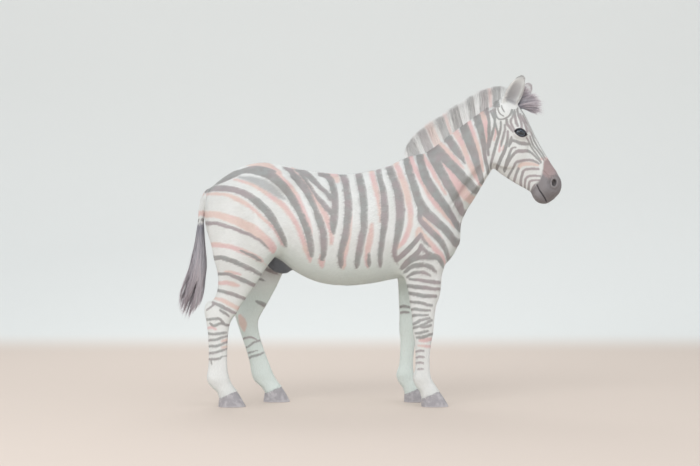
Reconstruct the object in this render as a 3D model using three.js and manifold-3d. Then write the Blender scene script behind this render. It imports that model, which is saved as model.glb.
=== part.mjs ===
// A life-size standing plains zebra, built as closed solids that meet along thin cuts.
// Units are millimetres. +X is forward (towards the nose), +Y is the animal's left, +Z is up.
// The soles of the four hooves stand on z = 0, and the origin is below the middle of the bounding box.
//
// The flesh is one smooth body: lofts with oval sections (trunk, neck, head, four legs) and muscle
// masses, blended into each other as a distance field. Each named sub-part is that field, meshed over
// its own region and trimmed by the planes it shares with its neighbours.

import * as THREE from "three";
import { mergeVertices } from "three/addons/utils/BufferGeometryUtils.js";
import Module from "manifold-3d";

const wasm = await Module();
wasm.setup();

// ---------------------------------------------------------------- driving dimensions
const HEAD_YAW = -8; // degrees, the head looks a little to the animal's right
const EAR_LENGTH = 208;
const EYE_RADII = [36, 26, 26]; // long axis first
const EYE_TILT = 43; // of the long axis above the line of the face
const COAT_GAP = 0.5; // between a piece and the flesh it is seated on
const HALF_CUT = 0.2; // half of a thin cut between two pieces of flesh
const HIND_TRACK = 120; // from the midline to the middle of a hind leg
const FORE_TRACK = 112; // from the midline to the middle of a foreleg
const SOLE_LENGTH = 146;
const SOLE_WIDTH = 104;

// ---------------------------------------------------------------- small vector helpers
const rad = THREE.MathUtils.degToRad;
const dot = (a, b) => a[0] * b[0] + a[1] * b[1] + a[2] * b[2];
const add = (a, b, k = 1) => [a[0] + k * b[0], a[1] + k * b[1], a[2] + k * b[2]];
const unit = (a) => add([0, 0, 0], a, 1 / Math.hypot(...a));
const cross = (a, b) => [a[1] * b[2] - a[2] * b[1], a[2] * b[0] - a[0] * b[2], a[0] * b[1] - a[1] * b[0]];

// A frame in the side plane: `along` leans by `pitch` degrees above +X, `up` is square to it.
// The head's frame is also turned about the vertical by `yaw` degrees.
function sideFrame(origin, pitch, yaw = 0) {
  const [c, s] = [Math.cos(rad(pitch)), Math.sin(rad(pitch))];
  const [cy, sy] = [Math.cos(rad(yaw)), Math.sin(rad(yaw))];
  return { origin, along: [c * cy, c * sy, s], up: [-s * cy, -s * sy, c], side: [-sy, cy, 0] };
}
const toWorld = (f, [s, v, t]) => add(add(add(f.origin, f.along, s), f.side, v), f.up, t);

// ---------------------------------------------------------------- the distance field's pieces
// Smooth minimum and maximum: two surfaces join with a fillet of about `k`.
const blendMin = (a, b, k) => Math.min(a, b) - (Math.max(k - Math.abs(a - b), 0) ** 2) / (4 * k);
const blendMax = (a, b, k) => -blendMin(-a, -b, k);

// Cubic interpolation through rows that start with their station, tabulated for speed.
const TABLE_STEPS = 160;
function tabulate(rows) {
  const [first, last] = [rows[0][0], rows[rows.length - 1][0]];
  const slope = (i, c) => {
    const [a, b] = [rows[Math.max(i - 1, 0)], rows[Math.min(i + 1, rows.length - 1)]];
    return (b[c] - a[c]) / (b[0] - a[0]);
  };
  const table = [];
  for (let k = 0, i = 0; k <= TABLE_STEPS; k++) {
    const at = first + ((last - first) * k) / TABLE_STEPS;
    while (i < rows.length - 2 && at > rows[i + 1][0]) i++;
    const [a, b, h] = [rows[i], rows[i + 1], rows[i + 1][0] - rows[i][0]];
    const u = (at - a[0]) / h;
    const [h1, h2] = [u * u * (3 - 2 * u), u * (1 - u) * (1 - u)];
    table.push(a.map((_, c) => a[c] + (b[c] - a[c]) * h1
      + h * (slope(i, c) * h2 - slope(i + 1, c) * u * u * (1 - u))));
  }
  return (at) => {
    const x = (THREE.MathUtils.clamp((at - first) / (last - first), 0, 1)) * TABLE_STEPS;
    const i = Math.min(Math.floor(x), TABLE_STEPS - 1);
    return table[i].map((v, c) => v + (table[i + 1][c] - v) * (x - i));
  };
}

// A body of oval sections strung along a frame's `along` axis. Its rows are
// [station, top, middle, bottom, half width, sideways shift], all measured in the frame.
// `sharp` under 2 makes the top of the section narrower, as on withers and crest. The ends are domed,
// and `dome` is the most that the dome stands past the last row.
function loft(frame, rows, sharp = 2, blunt = 2, dome = 400) {
  const at = tabulate(rows.map((r) => [...r, 0].slice(0, 6)));
  const [first, last] = [rows[0][0], rows[rows.length - 1][0]];
  return (p) => {
    const q = add(p, frame.origin, -1);
    const s = dot(q, frame.along);
    const [, top, mid, bottom, half, shift] = at(s);
    const t = dot(q, frame.up) - mid;
    const v = Math.abs(dot(q, frame.side) - shift);
    const height = t > 0 ? top - mid : mid - bottom;
    const n = t > 0 ? sharp : blunt;
    const beyond = s - THREE.MathUtils.clamp(s, first, last);
    const cap = Math.min(height, half, dome);
    const [x, y, e] = [v / half, Math.abs(t) / height, beyond / cap];
    const size = (x ** n + y ** n) ** (1 / n);
    const k = Math.hypot(size, e) + 1e-9;
    const bend = (size + 1e-9) ** (1 - n);
    const slope = Math.hypot((bend * x ** (n - 1)) / half, (bend * y ** (n - 1)) / height) * (size / k);
    return (k - 1) / Math.hypot(slope, (e / k) / cap, 1e-4);
  };
}

// An ellipsoid, turned by `pitch` in the side plane of its frame: muscles, joints, eye sockets.
function mass(frame, centre, radii, pitch = 0) {
  const f = { ...frame, origin: toWorld(frame, centre) };
  const [c, s] = [Math.cos(rad(pitch)), Math.sin(rad(pitch))];
  const along = add(add([0, 0, 0], f.along, c), f.up, s);
  const up = add(add([0, 0, 0], f.along, -s), f.up, c);
  return (p) => {
    const q = add(p, f.origin, -1);
    const [x, y, z] = [dot(q, along) / radii[0], dot(q, f.side) / radii[1], dot(q, up) / radii[2]];
    const k = Math.hypot(x, y, z) + 1e-9;
    return (k * (k - 1)) / (Math.hypot(x / radii[0], y / radii[1], z / radii[2]) + 1e-9);
  };
}
const mirrored = (frame, [s, v, t], radii, pitch) =>
  [-1, 1].map((side) => mass(frame, [s, side * v, t], radii, pitch));

// ---------------------------------------------------------------- the lofts
const body = sideFrame([0, 0, 0], 0);
const neckFrame = sideFrame([330, 0, 1130], 42);
const headFrame = sideFrame([822, 0, 1457], -60, HEAD_YAW);
headFrame.origin[1] = (822 - 700) * Math.tan(rad(HEAD_YAW)); // the head turns about the poll
const upright = { origin: [0, 0, 0], along: [0, 0, 1], up: [1, 0, 0], side: [0, 1, 0] };

const trunk = loft(body, [
  [-876, 1142, 1100, 1045, 42],
  [-824, 1194, 1085, 985, 98],
  [-760, 1242, 1065, 915, 160],
  [-680, 1284, 1050, 862, 205],
  [-580, 1305, 1045, 820, 226],
  [-480, 1295, 1015, 775, 224],
  [-380, 1271, 970, 702, 230],
  [-260, 1253, 935, 652, 238],
  [-120, 1243, 920, 637, 242],
  [20, 1263, 925, 650, 234],
  [120, 1292, 945, 670, 214],
  [200, 1309, 955, 682, 190],
  [300, 1285, 950, 697, 170],
  [390, 1180, 928, 738, 148],
  [430, 1105, 920, 772, 130],
  [460, 1035, 914, 812, 102],
  [478, 985, 910, 850, 74],
], 1.85, 2.1, 16);

const neck = loft(neckFrame, [
  [-160, 150, -20, -185, 128],
  [-40, 215, -15, -205, 140],
  [39, 228, -10, -206, 134],
  [139, 190, -8, -184, 110],
  [240, 180, -2, -154, 92],
  [330, 174, 8, -126, 81],
  [420, 165, 20, -98, 74],
  [515, 154, 40, -70, 68],
  [590, 140, 55, -30, 60],
  [632, 118, 62, 10, 46],
], 1.75, 2);

const head = loft(headFrame, [
  [-212, 16, -10, -38, 30],
  [-190, 42, -22, -92, 54],
  [-140, 60, -35, -148, 68],
  [-80, 67, -25, -192, 80],
  [-20, 62, -12, -214, 84],
  [40, 57, -14, -224, 78],
  [92, 55, -24, -220, 68],
  [155, 54, -30, -194, 58],
  [230, 56, -30, -154, 48],
  [290, 60, -28, -120, 47],
  [330, 52, -28, -112, 48],
  [360, 26, -36, -104, 42],
  [378, -2, -52, -92, 33],
  [388, -22, -58, -82, 22],
], 2.3, 1.9, 7);

// A leg is a loft up the vertical. Its rows are [height, front x, rear x, half width, sideways shift]
// on the right side, and `left` moves the rows of the left leg fore and aft.
function legLoft(rows, track, side) {
  const stations = rows.map(([z, front, rear, half, out = 0]) =>
    [z, front, (front + rear) / 2, rear, half, side * (track + out)]);
  return loft(upright, stations, 2.2, 2.2);
}
const foreRows = [
  [48, 396, 276, 45],
  [80, 374, 264, 38],
  [115, 350, 240, 34],
  [150, 330, 230, 36],
  [200, 322, 242, 29],
  [270, 322, 244, 28],
  [340, 330, 240, 33],
  [390, 340, 231, 41],
  [430, 343, 228, 43],
  [480, 348, 224, 40],
  [540, 357, 214, 43],
  [610, 368, 203, 49],
  [680, 382, 186, 57],
  [750, 404, 164, 66, 4],
  [830, 428, 150, 70, 8],
  [930, 430, 170, 66, 4],
  [1040, 400, 200, 50, -8],
];
const hindRows = [
  [48, -675, -798, 45],
  [80, -698, -812, 38],
  [112, -724, -846, 34],
  [150, -742, -864, 36],
  [210, -753, -856, 29],
  [300, -753, -854, 28],
  [390, -748, -858, 31],
  [450, -734, -866, 38],
  [500, -700, -872, 41],
  [535, -682, -862, 40],
  [580, -648, -822, 40],
  [640, -606, -806, 50],
  [710, -562, -806, 62, 6],
  [790, -515, -826, 78, 8],
  [880, -505, -842, 90, 4],
  [980, -540, -850, 92, -8],
  [1080, -610, -836, 80, -26],
];
// The left legs stand where the pose puts them: the fore a little back, the hind well forward.
const foreLeftShift = [[48, -81], [160, -80], [400, -64], [600, -44], [760, -18], [1040, 0]];
const hindLeftRows = [
  [48, -450, -570, 45],
  [80, -474, -590, 38],
  [112, -500, -626, 34],
  [150, -522, -644, 36],
  [210, -546, -654, 30],
  [290, -576, -676, 29],
  [380, -602, -706, 32],
  [440, -606, -726, 38],
  [495, -582, -742, 41],
  [530, -560, -742, 40],
  [580, -532, -722, 41],
  [640, -500, -716, 51],
  [710, -470, -732, 62, 6],
  [790, -448, -780, 78, 8],
  [880, -455, -822, 90, 4],
  [980, -500, -846, 92, -8],
  [1080, -590, -836, 80, -26],
];
const shiftAt = tabulate(foreLeftShift);
const foreLeftRows = foreRows.map(([z, front, rear, ...rest]) =>
  [z, front + shiftAt(z)[1], rear + shiftAt(z)[1], ...rest]);
const legs = {
  fore_right: legLoft(foreRows, FORE_TRACK, -1),
  fore_left: legLoft(foreLeftRows, FORE_TRACK, 1),
  hind_right: legLoft(hindRows, HIND_TRACK, -1),
  hind_left: legLoft(hindLeftRows, HIND_TRACK, 1),
};

// ---------------------------------------------------------------- muscles and hollows
// Each entry is [fields, blend radius].
const muscles = [
  [mirrored(body, [-470, 150, 1190], [75, 48, 52], -20), 60], // point of the hip
  [mirrored(body, [-806, 78, 1000], [72, 64, 140], 8), 50], // buttock
  [mirrored(body, [-560, 168, 905], [100, 60, 130], -25), 70], // thigh over the stifle
  [mirrored(body, [225, 152, 905], [112, 48, 118], 30), 60], // triceps
  [mirrored(body, [318, 112, 1055], [60, 50, 165], 30), 60], // shoulder blade
  [mirrored(body, [412, 92, 915], [58, 52, 84], 10), 50], // point of the shoulder
  [mirrored(neckFrame, [150, 80, -60], [180, 40, 70], -8), 60], // neck muscle over the windpipe
  [mirrored(neckFrame, [500, 52, 60], [90, 28, 50], 0), 40], // wing of the first neck bone
];
const faceMuscles = [
  [mirrored(headFrame, [28, 56, -116], [106, 26, 94], 0), 30], // cheek
  [mirrored(headFrame, [-6, 70, -2], [50, 25, 38], -8), 22], // rim of the eye socket
  [mirrored(headFrame, [92, 56, -18], [92, 12, 10], 4), 18], // crest under the eye
  [mirrored(headFrame, [-150, 42, -30], [52, 36, 48], 0), 26], // root of the ear
  [mirrored(headFrame, [318, 34, 24], [46, 22, 30], -12), 20], // nostril
  [mirrored(headFrame, [346, 20, -10], [38, 34, 42], 0), 22], // upper lip
  [mirrored(headFrame, [340, 12, -88], [40, 30, 26], 12), 20], // lower lip and chin
];
const hollows = [
  [mirrored(body, [-455, 272, 1085], [90, 38, 80], 20), 50], // hollow of the flank
  [mirrored(headFrame, [-66, 96, 24], [30, 16, 20], 0), 18], // hollow above the eye
  [mirrored(headFrame, [180, 66, 4], [90, 16, 26], 3), 30], // side of the nose
  [mirrored(neckFrame, [270, 104, -92], [170, 22, 22], 8), 24], // groove beside the windpipe
];
const legMasses = [
  [[mass(upright, [640, -112, 345], [85, 40, 34])], 30], // forearm muscle, right
  [[mass(upright, [640, 112, 300], [85, 40, 34])], 30], // and left
  [[mass(upright, [524, -120, -853], [38, 17, 16])], 26], // point of the hock, right
  [[mass(upright, [522, 120, -722], [38, 17, 16])], 26], // and left
];

const joined = (list, start, p) => list.reduce(
  (d, [fields, k]) => fields.reduce((e, f) => blendMin(e, f(p), k), d), start);
const carved = (list, start, p) => list.reduce(
  (d, [fields, k]) => fields.reduce((e, f) => blendMax(e, -f(p), k), d), start);

const torsoField = (p) => joined(muscles, blendMin(trunk(p), neck(p), 70), p);
const headField = (p) => joined(faceMuscles, head(p), p);

// The whole animal's flesh, out to the tips of its short coat. It is negative inside.
function flesh(p) {
  let d = torsoField(p);
  if (p[0] > 560) d = blendMin(d, headField(p), 26);
  if (p[2] < 1200 && p[0] < 520) {
    for (const leg of Object.values(legs)) d = blendMin(d, leg(p), 55);
    d = joined(legMasses, d, p);
  }
  return carved(hollows, d, p);
}

// ---------------------------------------------------------------- meshing the field
const TURN = 2 * Math.PI;
const oval = (count, point) => Array.from({ length: count }, (_, i) => point((TURN * i) / count));
const solidFrom = (positions, triangles) => new wasm.Manifold(new wasm.Mesh({
  numProp: 3, vertProperties: new Float32Array(positions), triVerts: new Uint32Array(triangles),
}));

// How far a ray runs inside the field before it first comes out, up to `reach`.
const MARCH = 11;
function runOut(field, from, way, level, reach) {
  let far = MARCH;
  while (far < reach && field(add(from, way, far)) < level) far += MARCH;
  let near = far - MARCH;
  for (let round = 0; round < 14; round++) {
    const middle = (near + far) / 2;
    if (field(add(from, way, middle)) < level) near = middle;
    else far = middle;
  }
  return Math.max(near, 0.5);
}

// A closed skin over rings of points. The ends close on a point each.
function skinRings(rings, ends = [0, rings.length - 1].map((r) =>
  rings[r].reduce((m, p) => add(m, p, 1 / rings[r].length), [0, 0, 0]))) {
  const count = rings[0].length;
  const positions = [...rings.flat(2), ...ends.flat()];
  const triangles = [];
  for (let r = 0; r < rings.length - 1; r++)
    for (let i = 0; i < count; i++) {
      const [a, b] = [r * count + i, r * count + ((i + 1) % count)];
      triangles.push(a, b, b + count, a, b + count, a + count);
    }
  const [start, stop, last] = [rings.length * count, rings.length * count + 1, (rings.length - 1) * count];
  for (let i = 0; i < count; i++) {
    const j = (i + 1) % count;
    triangles.push(start, j, i, stop, last + i, last + j);
  }
  const solid = solidFrom(positions, triangles);
  return solid.volume() > 0 ? solid : solidFrom(positions, triangles.reverse());
}

// Meshes a field that runs along a frame: at each [station, height of the ring's middle, sideways
// shift] a ring of rays is cast from the middle out to the surface.
function castRings(field, frame, stations, count, { level = 0, reach = 420 } = {}) {
  const middles = stations.map(([s, t, v = 0]) => toWorld(frame, [s, v, t]))
    .filter((p) => field(p) < level - 3);
  const rings = middles.map((from) => oval(count, (a) => {
    const way = add(add([0, 0, 0], frame.up, Math.cos(a)), frame.side, Math.sin(a));
    return add(from, way, runOut(field, from, way, level, reach));
  }));
  const tip = (from, sign) => {
    const way = add([0, 0, 0], frame.along, sign);
    return add(from, way, runOut(field, from, way, level, 60));
  };
  return skinRings(rings, [tip(middles[0], -1), tip(middles[middles.length - 1], 1)]);
}

// How deep a point lies inside the corner that a set of planes bounds.
const depthIn = (planes, p) => Math.min(...planes.map(({ point, normal }) =>
  dot(unit(normal), add(p, point, -1))));
const MARGIN = 70; // how far a piece is meshed past its cuts before it is trimmed

// ---------------------------------------------------------------- solids from three.js geometry
function solidOf(geometry, matrix = new THREE.Matrix4()) {
  const g = geometry.clone().applyMatrix4(matrix);
  for (const name of ["normal", "uv"]) if (g.getAttribute(name)) g.deleteAttribute(name);
  const merged = mergeVertices(g, 1e-3);
  return solidFrom(merged.attributes.position.array, merged.index.array);
}

// Keeps what lies on the side of a plane that its normal points to, `gap` away from it.
const trim = (solid, { point, normal }, gap = HALF_CUT) => {
  const n = unit(normal);
  return solid.trimByPlane(n, dot(n, point) + gap);
};
const flipped = ({ point, normal }) => ({ point, normal: normal.map((v) => -v) });
const trimAll = (solid, planes, gap) => planes.reduce((s, plane) => trim(s, plane, gap), solid);
const block = (planes, gap) => {
  const box = solidOf(new THREE.BoxGeometry(4000, 4000, 4000));
  return trimAll(box, planes, gap);
};
const largest = (solid) => solid.decompose().reduce((a, b) => (b.volume() > a.volume() ? b : a));

// ---------------------------------------------------------------- the cuts between pieces
const cuts = {
  poll: { point: [658, 0, 1255], normal: [1, 0, -0.1] }, // head in front, neck behind
  muzzle: { point: toWorld(headFrame, [262, 0, 0]), normal: headFrame.along },
  neckRoot: { point: [495, 0, 985], normal: [0.66, 0, 0.58] }, // neck in front, chest behind
  girth: { point: [150, 0, 0], normal: [1, 0, 0] },
  loin: { point: [-430, 0, 0], normal: [1, 0, 0] },
  leftSide: { point: [0, 0, 0], normal: [0, 1, 0] },
};
// The planes that bound each leg's region above; a leg lies on the side the normals point to.
const foreLegPlanes = (side, shift) => [
  { point: [0, 0, 762], normal: [0, 0, -1] },
  { point: [150 + shift, 0, 762], normal: [1, 0, 0.12] },
  { point: [0, side * 44, 0], normal: [0, side, 0] },
];
const hindLegPlanes = (side, front) => [
  { point: [front, 0, 808], normal: [0, 0, -1] },
  { point: [front, 0, 808], normal: [-1, 0, 0] },
  { point: [0, 0, 0], normal: [0, side, 0] },
];
const regions = {
  fore_right: foreLegPlanes(-1, 0),
  fore_left: foreLegPlanes(1, -22),
  hind_right: hindLegPlanes(-1, -492),
  hind_left: hindLegPlanes(1, -440),
};

// ---------------------------------------------------------------- trunk, neck and head
const clippedTo = (planes) => (p) => Math.max(flesh(p), -MARGIN - depthIn(planes, p));
const blocks = Object.values(regions);
const raised = (plane) => ({ ...plane, point: add(plane.point, plane.normal, MARGIN) });
const stubs = blocks.map(([top, ...others]) => [raised(top), ...others]);
const torsoOnly = (p) => Math.max(clippedTo([flipped(cuts.neckRoot)])(p),
  ...stubs.map((planes) => depthIn(planes, p)));

const trunkStations = [-890, -882, -868, -845, -810, -765, -710, -655, -600, -545, -490, -430, -365,
  -300, -230, -160, -90, -20, 40, 95, 150, 200, 250, 300, 350, 400, 440, 465, 480, 488, 496]
  .map((x) => [x, x < -780 ? 1080 : x < -600 ? 1020 : x > 300 ? 915 : 960]);
const neckStations = [[-180, -20], [-110, -10], [-40, 0], [30, 5], [95, 5], [160, 5], [220, 10],
  [280, 15], [340, 20], [400, 30], [460, 45], [520, 60], [580, 70], [612, 84], [636, 94]];
const headStations = [-232, -222, -208, -198, -180, -150, -115, -80, -45, -20, 5, 30, 65, 105, 150,
  195, 235, 270, 300, 325, 345, 362, 376, 386].map((s) => [s, s < -60 ? -36 : s > 340 ? -56 : -50]);
const trunkMesh = (level) => castRings(torsoOnly, body, trunkStations, 26, { level, reach: 460 });
const neckMesh = (level) => castRings(clippedTo([cuts.neckRoot, flipped(cuts.poll)]), neckFrame,
  neckStations, 18, { level });
const headMesh = (level) => castRings(clippedTo([cuts.poll]), headFrame, headStations, 24, { level });

const legless = blocks.reduce((solid, planes) => solid.subtract(block(planes, -HALF_CUT)),
  trim(trunkMesh(0), flipped(cuts.neckRoot)));
const torso = {
  chest: largest(trim(legless, cuts.girth)),
  barrel: largest(trimAll(legless, [flipped(cuts.girth), cuts.loin])),
  hindquarters: largest(trim(legless, flipped(cuts.loin))),
};
const neckSolid = largest(trimAll(neckMesh(0), [cuts.neckRoot, flipped(cuts.poll)]));
const faceMesh = trim(headMesh(0), cuts.poll);
const skullSolid = largest(trim(faceMesh, flipped(cuts.muzzle)));
const muzzleSolid = largest(trim(faceMesh, cuts.muzzle));

// ---------------------------------------------------------------- hooves
// A hoof is a slanted wall from a flat sole up to the hairline, which drops from toe to heel.
const HOOF_STEPS = 16;
function hoof([toe, y], { lift = 0 } = {}) {
  const length = SOLE_LENGTH;
  const ring = (share, grow = 0) => oval(HOOF_STEPS, (a) => {
    const [c, s] = [Math.cos(a), Math.sin(a)];
    const squash = c < 0 ? 1 - 0.18 * s * s : 1; // the heels are squarer than the toe
    const reach = THREE.MathUtils.lerp(length, 104, share) / 2 + grow;
    const half = THREE.MathUtils.lerp(SOLE_WIDTH, 84, share) / 2 + grow;
    const centre = toe - length / 2 - 25 * share;
    const top = 62 + 24 * c; // the hairline
    return [centre + reach * c * squash, y + half * s, lift + top * share];
  });
  return skinRings([0, 0.35, 0.7, 1].map((share) => ring(share)));
}
const hooves = {
  fore_right: [422, -FORE_TRACK],
  fore_left: [339, FORE_TRACK],
  hind_right: [-655, -HIND_TRACK],
  hind_left: [-432, HIND_TRACK],
};
// The plane of a hoof's hairline: the leg's flesh stays above it.
const hairline = ([toe, y]) => {
  const middle = toe - SOLE_LENGTH / 2 - 25;
  return { point: [middle, y, 62], normal: [-24 / 52, 0, 1] };
};

// ---------------------------------------------------------------- legs
// Each leg has an upper piece (forearm or thigh), a lower piece (cannon and pastern) and a hoof.
const kneeCut = { fore: 452, hind: 622 };
const upperRise = { fore: [425, 475, 530, 585, 635, 680, 722, 765, 815],
  hind: [595, 640, 685, 730, 770, 812, 865] };
const lowerRise = { fore: [34, 56, 80, 105, 135, 165, 205, 270, 335, 375, 405, 435, 475],
  hind: [34, 56, 80, 105, 135, 165, 205, 280, 360, 420, 465, 500, 525, 550, 575, 602, 650] };
// The middle of each leg's section, as [height, x].
const legMiddles = {
  fore_right: foreRows, fore_left: foreLeftRows, hind_right: hindRows, hind_left: hindLeftRows,
};
function legPieces(name) {
  const [end, side] = [name.slice(0, 4), name.endsWith("left") ? 1 : -1];
  const track = end === "fore" ? FORE_TRACK : HIND_TRACK;
  const middle = tabulate(legMiddles[name].map(([z, front, rear]) => [z, (front + rear) / 2]));
  const stations = (rise) => rise.map((z) => [z, middle(z)[1], side * track]);
  const joint = { point: [0, 0, kneeCut[end]], normal: [0, 0, 1] };
  const upperMesh = (level) => castRings(clippedTo(regions[name]), upright, stations(upperRise[end]), 16,
    { level, reach: 260 });
  const upper = largest(trimAll(upperMesh(0), [...regions[name], joint]));
  const lowerMesh = castRings(flesh, upright, stations(lowerRise[end]), 12, { reach: 200 });
  const lower = largest(trimAll(lowerMesh, [flipped(joint), hairline(hooves[name])]));
  return { upper, lower, hoof: hoof(hooves[name]), seat: upperMesh(COAT_GAP) };
}
const legSolids = Object.fromEntries(Object.keys(legs).map((name) => [name, legPieces(name)]));

// ---------------------------------------------------------------- eyes
// Egg-shaped eyeballs whose long axis leans with the corners of the eye.
function eyeball(side, grow = 0) {
  const [c, s] = [Math.cos(rad(EYE_TILT)), Math.sin(rad(EYE_TILT))];
  const lean = add(add([0, 0, 0], headFrame.along, c), headFrame.up, s);
  const out = unit(add(add(add([0, 0, 0], headFrame.side, side), headFrame.along, 0.1), headFrame.up, 0.1));
  const third = unit(cross(out, lean));
  const axes = [cross(third, out), out, cross(cross(third, out), out)];
  const basis = new THREE.Matrix4().makeBasis(...axes.map((v) => new THREE.Vector3(...v)));
  basis.scale(new THREE.Vector3(...EYE_RADII.map((r) => r + grow)));
  basis.setPosition(...toWorld(headFrame, [0, side * 78, -8]));
  return solidOf(new THREE.SphereGeometry(1, 12, 8), basis);
}

// ---------------------------------------------------------------- ears
// An ear is a leaf-shaped cup: crescent sections along an axis that leans forward and outward.
const earRows = [
  [0, 26, 26],
  [25, 36, 31],
  [60, 48, 32],
  [100, 52, 27],
  [140, 48, 21],
  [172, 38, 14],
  [193, 27, 9],
  [EAR_LENGTH, 13, 5],
];
const EAR_WALL = 8;
const EAR_STEPS = 7;
function ear(side, grow = 0) {
  const root = toWorld(headFrame, [-150, side * 46, -20]);
  const pitch = rad(side > 0 ? 107 : 119); // the left ear is pricked further forward
  const lean = toWorld({ ...headFrame, origin: [0, 0, 0] }, [Math.cos(pitch), side * 0.16, Math.sin(pitch)]);
  const along = unit(lean);
  const facing = unit(cross(cross(along, [0.42, side * 0.9, 0.1]), along));
  const across = cross(along, facing);
  const rows = tabulate(earRows);
  const stations = [0, 24, 44, 72, 105, 138, 165, 184, 198, EAR_LENGTH + grow];
  const rings = stations.map((s) => {
    const [half, depth] = rows(s).slice(1).map((v) => v + grow);
    const open = THREE.MathUtils.smoothstep(s, 26, 62); // the cup opens above the root
    const wall = Math.min(EAR_WALL, half * 0.45) + 2 * grow;
    const bow = 0.00042 * s * s; // the ear bows back towards its tip
    const point = (a, r, d) => add(add(add(root, along, s), across, r * Math.sin(a)), facing,
      -d * Math.cos(a) - bow);
    const back = Array.from({ length: EAR_STEPS }, (_, i) => {
      const a = THREE.MathUtils.lerp(-1.75, 1.75, i / (EAR_STEPS - 1));
      return point(a, half, depth);
    });
    const cup = Array.from({ length: EAR_STEPS }, (_, i) => {
      const a = THREE.MathUtils.lerp(1.6, -1.6, i / (EAR_STEPS - 1));
      const full = THREE.MathUtils.lerp(-depth * 0.9, depth - wall, open);
      return point(a, half - wall * 0.55, full);
    });
    return [...back, ...cup];
  });
  return skinRings(rings);
}

// ---------------------------------------------------------------- mane, forelock and tail
// The mane is an upright brush on the crest. Its rows are [x, z] along the outer edge and the root.
const maneEdge = [[190, 1352], [208, 1402], [248, 1458], [300, 1500], [383, 1557], [481, 1622],
  [583, 1682], [653, 1708], [712, 1716], [752, 1700]];
const maneRoot = [[196, 1300], [240, 1308], [300, 1330], [360, 1370], [430, 1420], [510, 1485],
  [590, 1545], [660, 1570], [712, 1570], [752, 1570]];
const MANE_HALF = 17;
function mane() {
  const rings = maneEdge.map(([ex, ez], i) => {
    const [rx, rz] = maneRoot[i];
    return oval(10, (a) => {
      const up = 0.5 + 0.5 * Math.cos(a);
      const half = MANE_HALF * (1.25 - 0.5 * up) * (i === 0 || i === maneEdge.length - 1 ? 0.6 : 1);
      return [rx + (ex - rx) * up, half * Math.sin(a), rz + (ez - rz) * up];
    });
  });
  return skinRings(rings);
}

// The forelock falls forward between the ears.
function forelock() {
  const rows = [
    [-196, 10, 40, 22],
    [-170, 34, 82, 30],
    [-135, 50, 112, 34],
    [-98, 58, 128, 30],
    [-72, 60, 120, 14],
  ];
  return skinRings(rows.map(([s, low, high, half]) => oval(12, (a) =>
    toWorld(headFrame, [s, half * Math.sin(a), (low + high) / 2 + ((high - low) / 2) * Math.cos(a)]))));
}

// Round sections along a curve in the side plane: rows are [x, z, half length, half width].
function hanging(rows, count) {
  return skinRings(rows.map(([x, z, long, wide], i) => {
    const [a, b] = [rows[Math.max(i - 1, 0)], rows[Math.min(i + 1, rows.length - 1)]];
    const run = unit([b[0] - a[0], 0, b[1] - a[1]]);
    const out = [run[2], 0, -run[0]];
    return oval(count, (t) => add([x, wide * Math.sin(t), z], out, long * Math.cos(t)));
  }));
}
const dock = () => hanging([
  [-826, 1150, 26, 30], [-862, 1138, 27, 30], [-888, 1100, 25, 27], [-902, 1045, 22, 23],
  [-908, 985, 20, 20], [-911, 925, 18, 18], [-913, 897, 17, 17],
], 10);
const tuft = () => hanging([
  [-913, 896, 22, 22], [-914, 850, 32, 28], [-916, 800, 40, 34], [-922, 740, 50, 38],
  [-938, 680, 56, 40], [-954, 620, 60, 38], [-968, 565, 54, 34], [-980, 515, 38, 26], [-990, 474, 14, 12],
], 12);

// The dark fold of skin in the groin, under the flank.
const groinField = mass(body, [-488, 0, 762], [84, 44, 60], -32);

// ---------------------------------------------------------------- seating pieces on the flesh
// The same meshes, a hair larger, cut the beds of the pieces that are seated on them.
const [trunkSeat, neckSeat, headSeat] = [trunkMesh(COAT_GAP), neckMesh(COAT_GAP), headMesh(COAT_GAP)];
const allSeats = [trunkSeat, neckSeat, headSeat, legSolids.hind_right.seat, legSolids.hind_left.seat];
const bedded = (solid, others = []) =>
  largest([...allSeats, ...others].reduce((a, b) => a.subtract(b), solid));

const sides = { right: -1, left: 1 };
const ears = Object.fromEntries(Object.entries(sides).map(([name, side]) => [name, bedded(ear(side))]));
const eyes = Object.fromEntries(Object.entries(sides).map(([name, side]) =>
  [name, eyeball(side)]));
const skull = largest(Object.values(sides).reduce((solid, side) =>
  solid.subtract(eyeball(side, COAT_GAP)), skullSolid));

// The forelock starts where the mane ends, and both leave room for the ears.
const brow = { point: [738, 0, 1650], normal: [1, 0, 0.1] };
const earRoom = Object.values(sides).map((side) => ear(side, COAT_GAP));
const maneSolid = bedded(trim(mane(), flipped(brow)), earRoom);
const forelockSolid = bedded(trim(forelock(), brow), earRoom);
const tailCut = { point: [-913, 0, 897], normal: [0, 0, 1] };
const dockSolid = bedded(trim(dock(), tailCut));
const tuftSolid = largest(trim(tuft(), flipped(tailCut)));
const groin = bedded(castRings(groinField, body, [-566, -550, -520, -488, -456, -426, -412].map((x) =>
  [x, 762 - (x + 488) * Math.tan(rad(32))]), 14));

// ---------------------------------------------------------------- materials and the scene graph
const finish = (color, roughness) => new THREE.MeshStandardMaterial({ color, roughness, metalness: 0 });
const materials = {
  coat: finish("#e6e5e0", 0.85),
  muzzle: finish("#8f8888", 0.6),
  mane: finish("#b9b6b4", 0.9),
  tail: finish("#7d7c82", 0.8),
  groin: finish("#6b7077", 0.7),
  hoof: finish("#b0adb0", 0.5),
  eye: finish("#3a4148", 0.1),
};

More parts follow.
